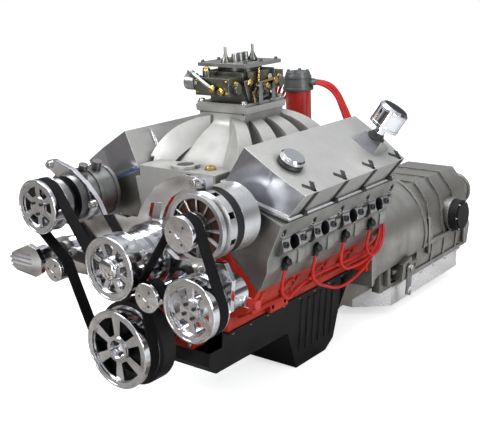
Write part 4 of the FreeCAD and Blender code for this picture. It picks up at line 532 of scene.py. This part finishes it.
# Valve covers: satin-blasted aluminium castings with polished front ends, on pressed gaskets, blue
# on the right bank and dark on the left. The breather's foot is left dark.
cover_alloy = finish_of("satin valve cover", (0.5, 0.5, 0.48), (0.44, 0.44, 0.425), 0.46, 0.08, 0.7,
                        grain=900, depth=0.0001, edge=0.0022, wear=1.4, worn=(0.85, 0.85, 0.86), painted_shade=0.8,
                        reach=0.02)
bright_cover = finish_of("polished cover front", (0.6, 0.61, 0.66), (0.5, 0.51, 0.56), 0.2, 0.06, 0.9,
                         grain=200, depth=0.00002, edge=0.0025, wear=2.0, worn=(0.95, 0.95, 0.95))
dark_cover = finish_of("dark breather foot", (0.16, 0.16, 0.175), (0.11, 0.11, 0.12), 0.3, 0.08, 0.9,
                       grain=300, depth=0.00004, edge=0.002, wear=1.5, worn=(0.6, 0.6, 0.62))
for piece in dress(cover_alloy, "cover_satin", "valve_cover_left", "valve_cover_right"):
    face_finish(piece, bright_cover, lambda face: face.normal.y < -0.45)
    face_finish(piece, dark_cover, lambda face: 0.15 < face.center.y < 0.3 and -0.97 < face.normal.y < -0.25)
blue_gasket = finish_of("blue gasket", (0.03, 0.09, 0.32), (0.05, 0.13, 0.4), 0.45, 0.1, 0.0, depth=0.00005)
dark_gasket = finish_of("dark gasket", (0.05, 0.05, 0.055), (0.03, 0.03, 0.033), 0.5, 0.1, 0.0, depth=0.00005)
gaskets, = dress(blue_gasket, "gasket_blue", "valve_cover_gaskets")
face_finish(gaskets, dark_gasket, lambda face: face.center.x > 0)


# Cover bolts: black flanged heads down in their pockets along both long sides of each cover, which
# pull it onto its gasket.
def cover_spot(side, out, up, along):
    """A point of a valve cover: out from its inner rail, up from the rail, back along the engine."""
    lag = 0 if side > 0 else right_lag
    across = 0.143 + out * math.cos(cover_lean) + up * math.sin(cover_lean)
    return Vector((side * across, back(along + lag),
                   0.35 - out * math.sin(cover_lean) + up * math.cos(cover_lean)))


cover_lean = math.radians(22)
outer_bolts = (0.077, 0.201, 0.325, 0.449)
spots = [(cover_spot(side, out, 0.0082, along), cover_spot(side, 0, 1, 0) - cover_spot(side, 0, 0, 0))
         for side in (1, -1) for out, places in ((0.181, outer_bolts), (0.007, (0.104, 0.272, 0.44)))
         for along in places]
set_down(copy_to(hex_bolt(0.0115, 0.009), spots), "valve_cover_bolts", black_bolt)


# Forked bolt pockets: the recesses on the outer edge of each cover get dark plates as painted shadow,
# two arms on the roof that meet in a groove down the side to each bolt.
def lie_along(run, up):
    """The turn of a bar whose length follows one line and whose thin side faces another."""
    return Matrix((run, up.cross(run), up)).transposed().to_euler()


# Painted shadow: these dark plates stand for the shade inside the bolt pockets.
pocket_shadow_paint = finish_of("painted pocket shadow", (0.06, 0.06, 0.056), (0.04, 0.04, 0.038), 0.5, 0.1, 0.6,
                         depth=0.00005)
forks = []
for side in (1, -1):
    wall_down = (cover_spot(side, 0.171, 0.005, 0) - cover_spot(side, 0.192, 0.0708, 0)).normalized()
    outward = (cover_spot(side, 0.19, 0.0712, 0) - cover_spot(side, 0.16, 0.076, 0)).normalized()
    roof_normal = outward.cross(Vector(BACK))
    roof_normal = roof_normal if roof_normal.z > 0 else -roof_normal
    for along in outer_bolts:
        for lean in (-1, 1):
            run = (outward + Vector((0, -lean * 0.9, 0))).normalized()
            forks.append(bar(0.028, 0.0115, 0.0016, cover_spot(side, 0.172, 0.0741, along + lean * 0.009),
                             lie_along(run, roof_normal), 0.0006))
        forks.append(bar(0.062, 0.0135, 0.0024, cover_spot(side, 0.1835, 0.0405, along),
                         lie_along(wall_down, wall_down.cross(Vector(BACK))), 0.0006))
set_down(joined(*forks), "cover_pocket_shadows", pocket_shadow_paint)

# Cover beads: the bright machined edge of the rail along the outside foot of each cover.
beads = [bar(0.006, 0.462, 0.0085, cover_spot(side, 0.1745, 0.004, 0.256), (0, cover_lean * side, 0), 0.0025)
         for side in (1, -1)]
set_down(joined(*beads), "cover_beads", milled)

# Oil filler cap and breather: chromed steel pressings that push into rubber grommets in the left
# cover's roof. The breather has two raised bands round its can.
chrome = finish_of("bright chrome", (0.86, 0.87, 0.88), (0.82, 0.83, 0.85), 0.05, 0.02, 1.0, grain=150,
                   depth=0.000003, edge=0.0008)
dress(chrome, "chrome", "oil_filler_cap", "breather")
black_rubber = finish_of("black grommet rubber", (0.016, 0.016, 0.017), (0.028, 0.028, 0.028), 0.5, 0.12, 0.0,
                         depth=0.00006)
roof = 0.099
across = cover_spot(1, 0.192, roof - 0.16 * 0.176, 0.092) - cover_spot(1, 0.016, roof, 0.092)
filler = cover_spot(1, 0.098, roof - 0.16 * 0.082, 0.092)
ring = lathe([(0.029, 0), (0.03, 0.002), (0.03, 0.006), (0.0275, 0.0085), (0.025, 0.012)], 40)
set_down(copy_to(ring, [(filler, across.cross(Vector(BACK)).normalized())]), "filler_grommet", black_rubber)
breather_up = Vector((0.52, 0.2, 0.83)).normalized()
breather_foot = cover_spot(1, 0.118, 0.084, 0.412)
ring = lathe([(0.02, 0), (0.0225, 0.003), (0.0225, 0.008), (0.018, 0.011), (0.015, 0.018)], 40)
set_down(copy_to(ring, [(breather_foot + breather_up * 0.016, breather_up)]), "breather_grommet",
         black_rubber)
band = lathe([(0.0378, 0), (0.0386, 0.001), (0.0386, 0.004), (0.0378, 0.005)], 64)
set_down(copy_to(band, [(breather_foot + breather_up * rise, breather_up) for rise in (0.056, 0.096)]),
         "breather_bands", chrome, "breather_cap")

# Carburettor castings: an aluminium base, a main body and bowls in gold-green plating, and a plain
# grey zinc air horn. Four flanged nuts on studs hold them down on the manifold.
gold_plating = finish_of("gold plating", (0.3, 0.29, 0.235), (0.15, 0.155, 0.14), 0.32, 0.12, 0.9, grain=700,
                         depth=0.00008, edge=0.0012, wear=1.2, worn=(0.7, 0.68, 0.6), painted_shade=0.9, reach=0.015)
grey_zinc = finish_of("grey zinc casting", (0.46, 0.46, 0.45), (0.34, 0.35, 0.34), 0.36, 0.12, 0.9, grain=700,
                      depth=0.00008, edge=0.0012, wear=1.2, worn=(0.75, 0.75, 0.74), painted_shade=0.9, reach=0.015)
dress(cast_alloy, "cast_alloy", "carb_throttle_body")
dress(gold_plating, "gold_cast", "carb_main_body", "carb_float_bowls")
dress(grey_zinc, "gold_cast", "carb_air_horn")
nut = joined(lathe([(0.0105, 0), (0.0105, 0.0016)], 24),
             lathe([(0.0078, 0.0015), (0.0078, 0.0075), (0.0066, 0.0088)], 6),
             lathe([(0.004, 0.008), (0.004, 0.014), (0.0032, 0.015)], 16))
spots = [((x * 0.0655, 0.082 + y * 0.0715, 0.498), UP) for x in (-1, 1) for y in (-1, 1)]
set_down(copy_to(nut, spots), "carburettor_nuts", bolt_steel)

# Carburettor screws: dark plated ones round the air horn, and brass ones that clamp the bowls front
# and rear.
dark_plating = finish_of("dark plated screw", (0.1, 0.1, 0.09), (0.07, 0.07, 0.065), 0.34, 0.1, 0.9)
spots = [((x, y, 0.592), UP) for x in (-0.066, 0.066) for y in (0.021, 0.082, 0.143)]
set_down(copy_to(hex_bolt(0.007, 0.007), spots), "air_horn_screws", dark_plating)
spots = [((x, y, z), way) for y, way in ((-0.027, FRONT), (0.191, BACK))
         for x in (-0.045, 0.045) for z in (0.526, 0.554)]
set_down(copy_to(hex_bolt(0.0052, 0.006), spots), "bowl_screws", brass)

# Bowl fittings: brass sight plugs on the bowls' sides, the needle seats that stand on top of them,
# and plated cones where the vent tubes leave the body.
sight = lathe([(0.0085, 0), (0.0085, 0.004), (0.0065, 0.006), (0.0065, 0.01), (0.005, 0.0115)], 24)
set_down(copy_to(sight, [((0.052, y, 0.545), LEFT) for y in (-0.004, 0.168)]), "sight_plugs", brass)
needle = joined(lathe([(0.0095, 0), (0.0095, 0.005), (0.008, 0.007)], 6),
                lathe([(0.006, 0.006), (0.006, 0.014), (0.003, 0.016)], 20))
set_down(copy_to(needle, [((-0.034, y, 0.5755), UP) for y in (-0.004, 0.168)]), "needle_seats", brass)
cone = lathe([(0.012, 0), (0.0105, 0.006), (0.0075, 0.012), (0.005, 0.018), (0.0042, 0.022)], 24)
set_down(copy_to(cone, [((-0.008, 0.038, 0.59), UP), ((0.01, 0.122, 0.59), UP)]), "vent_feet", gold_plating)
cream = finish_of("cream float sight", (0.5, 0.49, 0.33), (0.42, 0.41, 0.28), 0.4, 0.08, 0.0, depth=0.00003)
window = lathe([(0.008, 0), (0.008, 0.0015), (0.0065, 0.003)], 24)
set_down(copy_to(window, [((0.0655, 0.116, 0.552), LEFT)]), "sight_window", cream)

# Choke housing and fuel line: a stepped zinc canister beside the front bowl, and the tube across
# the bowl's face with hexagon brass unions.
canister = lathe([(0.015, 0), (0.017, 0.003), (0.017, 0.01), (0.0205, 0.012), (0.0205, 0.034),
                  (0.019, 0.038), (0.012, 0.04)])
set_down(copy_to(canister, [((-0.048, -0.01, 0.548), (-1, -0.25, 0.05))]), "choke_housing", grey_zinc)
tube_way = (0.82, -0.1, -0.42)
tube = joined(lathe([(0.0048, 0), (0.0048, 0.092), (0.004, 0.094)], 16),
              lathe([(0.0085, 0), (0.0085, 0.01), (0.007, 0.012)], 6))
set_down(copy_to(tube, [((-0.066, -0.03, 0.576), tube_way)]), "fuel_tube", grey_zinc)
union = joined(lathe([(0.01, 0), (0.01, 0.006), (0.0085, 0.008)], 6),
               lathe([(0.0062, 0.007), (0.0062, 0.015), (0.005, 0.017)], 20))
spots = [((0.008, -0.039, 0.5385), tube_way), ((0.0655, 0.03, 0.548), LEFT), ((0.0655, 0.135, 0.54), LEFT),
         ((0.0655, 0.1, 0.53), LEFT), ((0.03, -0.0275, 0.531), FRONT)]
set_down(copy_to(union, spots), "fuel_fittings", brass)

# Throttle and choke linkage: plated strips cut from sheet, short brass links, and two brass rods
# with their end clips, pinned to the carburettor's left side.
strips = [bar(width, depth, tall, (x, y, z), (lean, 0, 0), 0.0008) for x, y, z, width, depth, tall, lean in (
    (0.07, 0.02, 0.53, 0.003, 0.01, 0.05, 0.3), (0.0735, 0.046, 0.522, 0.003, 0.008, 0.046, -0.5),
    (0.0705, 0.08, 0.54, 0.003, 0.012, 0.056, 0.15), (0.0745, 0.096, 0.518, 0.003, 0.008, 0.04, 0.9),
    (0.072, 0.126, 0.545, 0.003, 0.01, 0.05, -0.25), (0.076, 0.066, 0.508, 0.003, 0.06, 0.006, 0.1))]
set_down(joined(*strips), "throttle_linkage", gold_plating)
links = [bar(0.003, 0.005, 0.03, (0.079, y, z), (lean, 0, 0), 0.0008)
         for y, z, lean in ((0.034, 0.512, 0.2), (0.056, 0.534, 1.0), (0.108, 0.51, -0.6))]
set_down(joined(*links), "brass_links", brass)
rods = copy_to(lathe([(0.0028, 0), (0.0028, 0.06), (0.002, 0.061)], 16),
               [((0.072, 0.06, 0.52), (0, 0.1, 1)), ((0.0785, 0.06, 0.545), (0, 1, 0.05))])
clips = copy_to(lathe([(0.005, 0), (0.005, 0.006), (0.004, 0.007)], 12),
                [((0.072, 0.06, 0.517), UP), ((0.0755, 0.058, 0.5435), LEFT),
                 ((0.0755, 0.118, 0.5465), LEFT)])
set_down(joined(rods, clips), "choke_linkage", brass)

# Distributor: a body moulded in red plastic and a grey cap with a ribbed crown, small screws and a
# collar band where the two meet. The steering pump's port caps are of the same red plastic.
red_plastic = finish_of("red plastic", (0.46, 0.018, 0.012), (0.4, 0.014, 0.01), 0.28, 0.08, 0.0,
                        depth=0.00003, coat=0.2)
dress(red_plastic, "cap_red", "distributor_body", "steering_port_caps")
grey_plastic = finish_of("grey plastic", (0.085, 0.09, 0.09), (0.06, 0.064, 0.064), 0.42, 0.1, 0.0,
                         depth=0.00005, painted_shade=0.6, reach=0.01)
dress(grey_plastic, "cap_grey", "distributor_cap")
distributor_at = 0.33
crown = lathe([(0.036, 0), (0.0365, 0.004), (0.033, 0.01), (0.032, 0.016), (0.022, 0.019),
               (0.01, 0.0195)], 48)
screws = copy_to(lathe([(0.0045, 0), (0.0045, 0.007), (0.0036, 0.0085)], 16),
                 [((0.026 * math.cos(turn), 0.026 * math.sin(turn), 0.014), UP)
                  for turn in (0.4, 2.0, 3.5, 5.1)])
top = joined(crown, screws)
top.location = (0, distributor_at, 0.52)
set_down(top, "cap_crown", grey_plastic, angle=40)
band = lathe([(0.0405, 0), (0.0412, 0.002), (0.0412, 0.007), (0.04, 0.009)], 48)
band.location = (0, distributor_at, 0.488)
set_down(band, "distributor_band", grey_plastic)

# Ignition leads: round red silicone leads from the cap's towers, down behind each head and along
# under it to the plugs. Points of the left side: across, behind the block's front face and up.
cap_turns = (6, 26, 46, 66)
cap_runs = (((0.0696, 0.5173, 0.508), (0.098, 0.541, 0.481)),
            ((0.0629, 0.5407, 0.508), (0.094, 0.554, 0.484)),
            ((0.0486, 0.5604, 0.508), (0.084, 0.574, 0.488)),
            ((0.0285, 0.5739, 0.508), (0.068, 0.59, 0.492)))
bundle = ((0.12, 0.556, 0.428), (0.146, 0.558, 0.366), (0.188, 0.546, 0.288), (0.226, 0.53, 0.216))
plug_runs = (
    ((0.25, 0.52, 0.17), (0.264, 0.512, 0.136), (0.268, 0.494, 0.104), (0.268, 0.47, 0.086),
     (0.268, 0.436, 0.084), (0.268, 0.408, 0.115)),
    ((0.247, 0.522, 0.152), (0.256, 0.494, 0.11), (0.256, 0.455, 0.078), (0.258, 0.4, 0.072),
     (0.266, 0.35, 0.08), (0.268, 0.313, 0.084), (0.268, 0.285, 0.115)),
    ((0.243, 0.53, 0.16), (0.253, 0.512, 0.104), (0.247, 0.455, 0.052), (0.243, 0.38, 0.028),
     (0.247, 0.31, 0.031), (0.256, 0.24, 0.062), (0.267, 0.19, 0.084), (0.268, 0.163, 0.117)),
    ((0.236, 0.544, 0.17), (0.243, 0.536, 0.116), (0.242, 0.48, 0.09), (0.243, 0.372, 0.087),
     (0.242, 0.284, 0.092), (0.243, 0.196, 0.094), (0.25, 0.12, 0.084), (0.267, 0.068, 0.082),
     (0.268, 0.04, 0.115)))


def lead_between(points):
    """One smooth round lead through its guide points."""
    line = bpy.data.curves.new("lead", "CURVE")
    line.dimensions = "3D"
    line.bevel_depth = 0.004
    line.bevel_resolution = 5
    line.resolution_u = 10
    line.use_fill_caps = True
    spline = line.splines.new("NURBS")
    spline.points.add(len(points) - 1)
    for knot, point in zip(spline.points, points):
        knot.co = (*point, 1)
    spline.order_u = 3
    spline.use_endpoint_u = True
    lead = bpy.data.objects.new("lead", line)
    bpy.context.collection.objects.link(lead)
    only(lead)
    bpy.ops.object.convert(target="MESH")
    return bpy.context.object


boot_out, boot_way = 0.029, (0, -0.5, -0.866)
leads, boot_spots, elbow_spots, tower_spots = [], [], [], []
for side, lag in banks:
    for number, run in enumerate(plug_runs):
        turn = math.radians(cap_turns[number])
        spread = (number - 1.5) * 0.009
        route = [(0.04 * math.cos(turn), 0.51 + 0.04 * math.sin(turn), 0.508), *cap_runs[number]]
        route += [(x, y + spread + lag, z) for x, y, z in bundle]
        route += [(x, y + lag, z) for x, y, z in run]
        along = first_bore + lag + bore_pitch * (3 - number)
        end = plug_line(side, along, boot_out) + Vector(boot_way) * 0.01
        leads.append(lead_between([Vector((side * x, back(y), z)) for x, y, z in route] + [end]))
        boot_spots.append((plug_line(side, along, 0.0142), (side, 0, 0.42)))
        elbow_spots.append((plug_line(side, along, boot_out), boot_way))
        out = Vector((side * math.cos(turn), math.sin(turn), 0))
        tower_spots.append((Vector((0, distributor_at, 0.508)) + out * 0.033, out))
lead_rubber = finish_of("red lead", (0.48, 0.015, 0.012), (0.4, 0.012, 0.01), 0.4, 0.08, 0.0, depth=0.00003,
                        specular=0.3)
wires = set_down(joined(*leads), "round_leads", lead_rubber, angle=40)
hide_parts("ignition_leads")

# Boots: moulded black rubber that grips each plug, a ribbed barrel with an elbow for the lead, and
# short grey boots on the cap's towers.
boot_rubber = finish_of("black plug boot", (0.014, 0.014, 0.015), (0.022, 0.022, 0.022), 0.5, 0.1, 0.0,
                        depth=0.00003, specular=0.3)
barrel = lathe([(0.0086, 0), (0.0094, 0.002), (0.0094, 0.005), (0.0086, 0.007), (0.0086, 0.017),
                (0.0094, 0.019), (0.0088, 0.0225), (0.006, 0.0245)], 24)
elbow = lathe([(0.0066, 0), (0.0062, 0.008), (0.0054, 0.014), (0.0058, 0.016), (0.005, 0.019)], 24)
boots = set_down(joined(copy_to(barrel, boot_spots), copy_to(elbow, elbow_spots)), "plug_boots", boot_rubber,
                 angle=40)
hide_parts("ignition_leads")
tower = lathe([(0.0076, 0), (0.0072, 0.008), (0.008, 0.01), (0.0064, 0.016), (0.0056, 0.02)], 24)
set_down(copy_to(tower, tower_spots), "cap_tower_boots", grey_plastic)

# Accessory drive's fixed pieces: the plate, pump housings and arms are cut from solid aluminium and
# polished bright. The tensioner's arm stays as cast. Socket heads hold the plate.
billet = finish_of("polished billet", (0.8, 0.8, 0.82), (0.74, 0.74, 0.77), 0.1, 0.05, 1.0, grain=300,
                   depth=0.000004, edge=0.0008)
dress(billet, "polished", "idler_arm", "tensioner_housing", "accessory_plate", "water_pump_body",
      "steering_pump")
dress(cast_alloy, "cast_alloy", "tensioner_arm")
spots = [((x, -0.3145, z), FRONT) for x, z in (
    (-0.268, 0.378), (0.09, 0.232), (0.187, 0.199), (0.186, 0.39), (-0.13, 0.3), (-0.12, 0.16),
    (0.13, 0.122), (-0.215, 0.17))]
set_down(copy_to(socket_bolt(0.0085, 0.008), spots), "plate_bolts", bolt_steel)

# Pulleys: seven discs turned and windowed from aluminium bar. Fine turning marks run round each
# one's own axis. The black iron damper is keyed on the crankshaft behind its pulley.
turning_group, given, gives = new_group(
    "turning marks", [("Centre", VECTOR, (0, 0, 0)), ("Lines", FLOAT, 9000.0)], [("Height", FLOAT)])
where = add(turning_group, "TexCoord")
from_axis = calc(turning_group, "SUBTRACT", where.outputs["Object"], given.outputs["Centre"], "VectorMath")
flattened = calc(turning_group, "MULTIPLY", from_axis, (1, 0, 1), "VectorMath")
distance = calc(turning_group, "LENGTH", flattened, None, "VectorMath")
waves = calc(turning_group, "MULTIPLY", distance, given.outputs["Lines"])
wire(turning_group, calc(turning_group, "SINE", waves), gives.inputs["Height"])
axles = {"crank": (0, 0), "water_pump": (0, 0.192), "steering": (0.227, 0.142), "compressor": (-0.236, 0.296),
         "alternator": (0.205, 0.3), "idler": (0.1, 0.142), "tensioner": (-0.198, 0.15)}
for name, (x, z) in axles.items():
    turned = finish_of("turned " + name.replace("_", " ") + " pulley", (0.74, 0.74, 0.75), (0.64, 0.64, 0.66),
                       0.12, 0.05, 1.0, depth=0.000016, edge=0.0009, centre=(x, 0, z))
    dress(turned, "polished", name + "_pulley")
dress(black_paint, "black_paint", "vibration_damper")

# Pulley lips: the bright rounded bead that is rolled round the front rim of each grooved pulley and
# of the pump's.
for name, axle, front, radius in (
        ("crank_lip", "crank", -0.396, 0.0915), ("pump_lip", "water_pump", -0.4, 0.073),
        ("steering_lip", "steering", -0.398, 0.0694), ("compressor_lip", "compressor", -0.39, 0.064)):
    x, z = axles[axle]
    lip = lathe([(radius - 0.0062, 0), (radius + 0.0004, 0), (radius + 0.0006, 0.0022),
                 (radius - 0.0006, 0.0036), (radius - 0.003, 0.0042), (radius - 0.0052, 0.0034)], 96, True)
    set_down(copy_to(lip, [((x, front + 0.003, z), FRONT)]), name, billet,
             body_with[axle + "_pulley"], 60)


# Hub bolts: small black socket heads in a ring that clamp three of the pulleys to their hubs. The
# crankshaft's own sit in a turned disc, and a dome covers the pump's hub.
def round_axle(x, front, z, radius, count, start):
    """Places evenly round a pulley's axle, pointing forwards."""
    turns = [2 * math.pi * index / count + start for index in range(count)]
    return [((x + radius * math.cos(turn), front, z + radius * math.sin(turn)), FRONT) for turn in turns]


for axle, front, circle, count, radius in (
        ("crank", -0.382, 0.0135, 3, 0.0042), ("steering", -0.396, 0.016, 4, 0.0042),
        ("compressor", -0.388, 0.016, 3, 0.004)):
    x, z = axles[axle]
    set_down(copy_to(socket_bolt(radius, 0.004), round_axle(x, front, z, circle, count, 0.5)),
             axle + "_hub_bolts", black_bolt, body_with[axle + "_pulley"])
disc = lathe([(0.0215, 0), (0.0215, 0.03), (0.0205, 0.032), (0.019, 0.033), (0.0186, 0.0315),
              (0.006, 0.0315), (0.0055, 0.03)], 48)
set_down(copy_to(disc, [((0, -0.35, 0), FRONT)]), "crank_hub_disc", billet, "crank")
dome = lathe([(0.0262, 0), (0.0262, 0.003), (0.0248, 0.0062), (0.0215, 0.009), (0.015, 0.0112),
              (0.007, 0.0122)], 48)
set_down(copy_to(dome, [((0, -0.398, 0.192), FRONT)]), "pump_hub_dome", billet,
         "water_pump_rotor", 60)

# Pulley caps: thin turned discs over the two guide pulleys and the alternator's, each with three
# small black discs as painted shade for the holes of the tool that screws it on.
for name, axle, radius in (("idler_cap", "idler", 0.0335), ("tension_cap", "tensioner", 0.0285),
                           ("alternator_cap", "alternator", 0.0392)):
    x, z = axles[axle]
    body = body_with[axle + "_pulley"]
    turned = finish_of("turned " + name.replace("_", " "), (0.8, 0.8, 0.8), (0.72, 0.72, 0.72), 0.12, 0.05,
                       1.0, depth=0.00003, edge=0.0009, centre=(x, 0, z))
    cap = lathe([(radius, 0), (radius, 0.002), (radius - 0.0012, 0.0032), (radius * 0.5, 0.0044),
                 (radius * 0.2, 0.0048), (radius * 0.16, 0.0036)], 72)
    set_down(copy_to(cap, [((x, -0.388, z), FRONT)]), name, turned, body, 20)
    # Painted shade: thin black discs stand for the dark inside of the tool holes.
    hole_shadow = lathe([(0.0026, 0), (0.0026, 0.0004)], 16)
    set_down(copy_to(hole_shadow, round_axle(x, -0.3922, z, radius * 0.55, 3, 0.9)), name + "_hole_shadows", black_bolt,
             body)

# Serpentine belt: black ribbed rubber on cords, one band round all seven pulleys.
belt_rubber = finish_of("belt rubber", (0.004, 0.004, 0.005), (0.008, 0.008, 0.008), 0.65, 0.1, 0.0,
                        grain=1200, depth=0.00006, edge=0.0006, specular=0.1)
dress(belt_rubber, "rubber", "serpentine_belt")

# Alternator and compressor: die-cast aluminium, the alternator's blasted bright round a black
# stator, the compressor's dull. A brown plate closes the fan behind its blades.
satin_alloy = finish_of("satin aluminium", (0.7, 0.7, 0.7), (0.6, 0.6, 0.6), 0.3, 0.08, 0.9, grain=600,
                        depth=0.00004, edge=0.001, wear=0.8, worn=(0.9, 0.9, 0.9), painted_shade=0.9, reach=0.02)
dress(satin_alloy, "polished", "alternator_housing", "alternator_fan")
dress(black_paint, "black_paint", "alternator_stator")
dull_alloy = finish_of("dull compressor casting", (0.34, 0.34, 0.34), (0.22, 0.22, 0.22), 0.34, 0.1, 0.9,
                       grain=500, depth=0.0001, edge=0.001, wear=0.9, worn=(0.8, 0.8, 0.8), painted_shade=0.9,
                       reach=0.02)
dress(dull_alloy, "polished", "compressor_body")
copper = finish_of("brown varnish", (0.1, 0.045, 0.028), (0.03, 0.018, 0.014), 0.4, 0.1, 0.6, grain=1500,
                   depth=0.0002)
plate = lathe([(0.06, 0), (0.06, 0.003), (0.048, 0.0042), (0.034, 0.0035)], 48)
set_down(copy_to(plate, [((0.205, -0.3262, 0.3), FRONT)]), "fan_back_plate", copper,
         "alternator_spinner")

# Gearbox castings: the bell plate, the case and the tail housing are sand-cast aluminium, darker
# than the manifold and bright on the edges, with a black servo cover.
gearbox_alloy = finish_of("gearbox casting", (0.5, 0.485, 0.45), (0.36, 0.35, 0.325), 0.4, 0.14, 0.9,
                          grain=380, depth=0.0002, edge=0.002, wear=0.8, worn=(0.8, 0.79, 0.76),
                          painted_shade=0.9, reach=0.06)
dress(gearbox_alloy, "cast_alloy", "transmission_case", "tail_housing", "bell_plate")
dress(black_paint, "black_paint", "servo_cover")
spots = [((0.193 * math.cos(math.radians(turn)), 0.386, 0.193 * math.sin(math.radians(turn))), BACK)
         for turn in (-8, 22, 52, 82, 98, 128, 158, 188)]
set_down(copy_to(hex_bolt(0.0095, 0.01), spots), "bell_bolts", bolt_steel)
spots = []
for index in range(6):
    turn = math.pi * index / 3
    spots.append(((0.182, 0.983 + 0.046 * math.cos(turn), 0.004 + 0.046 * math.sin(turn)), LEFT))
set_down(copy_to(hex_bolt(0.005, 0.005), spots), "servo_screws", bolt_steel)

# Gearbox ribs: ribs and a flat flank cast on both sides of the case above the pan's rail, and the
# thick ring at the tail's end where the seal sits.
rib_places = (
    (0.012, 0.3, 0.016, 0.15, 0.9, -0.048, 0, 0.005), (0.012, 0.016, 0.12, 0.156, 0.8, -0.02, 0, 0.005),
    (0.012, 0.016, 0.11, 0.153, 1.06, -0.06, 0, 0.005), (0.03, 0.18, 0.014, 0.152, 0.62, -0.02, 0.4, 0.005),
    (0.03, 0.15, 0.014, 0.15, 0.64, -0.072, 0.4, 0.005), (0.026, 0.016, 0.1, 0.15, 0.545, -0.06, 0, 0.005),
    (0.03, 0.215, 0.112, 0.128, 0.63, -0.0745, 0, 0.004))
ribs = [bar(width, depth, tall, (side * x, y, z), (0, side * lean, 0), soft)
        for side in (1, -1) for width, depth, tall, x, y, z, lean, soft in rib_places]
set_down(joined(*ribs), "gearbox_ribs", gearbox_alloy)
tail_ring = lathe([(0.056, 0), (0.06, 0.002), (0.06, 0.012), (0.056, 0.016)], 48)
set_down(copy_to(tail_ring, [((0, 1.3, 0), BACK)]), "tail_ring", gearbox_alloy)

# Gearbox pan: pressed steel, chrome plated, bolted up under the case all round its rail.
bright_pan = finish_of("bright plated pan", (0.93, 0.935, 0.95), (0.86, 0.87, 0.89), 0.26, 0.08, 0.45,
                       grain=200, depth=0.00001, edge=0.0015)
dress(bright_pan, "chrome", "transmission_pan")
rail_places = [(side * 0.1425, 0.612 + 0.082 * index) for side in (-1, 1) for index in range(6)]
rail_places += [(x, 1.0385) for x in (-0.09, -0.03, 0.03, 0.09)] + [(x, 0.516) for x in (-0.03, 0.03)]
set_down(copy_to(hex_bolt(0.0075, 0.007), [((x, y, -0.1322), DOWN) for x, y in rail_places]),
         "gearbox_pan_bolts", bolt_steel)

# Shift lever: a forged steel arm on the selector's shaft, with its nut and three bright range marks
# pressed in its foot.
dress(steel, "forged_steel", "shift_lever")
nut = joined(lathe([(0.014, 0), (0.014, 0.002)]),
             lathe([(0.0115, 0.0018), (0.0115, 0.01), (0.01, 0.0115)], 6))
set_down(copy_to(nut, [((0.19, 0.62, -0.07), LEFT)]), "selector_nut", bolt_steel, "selector")
marks = [bar(0.002, 0.0032, 0.013, (0.1908, 0.6085 + 0.0062 * index, -0.137 + 0.003 * index),
             (-0.25, 0, 0), 0.0006) for index in range(3)]
set_down(joined(*marks), "range_marks", bright_pan, "selector")
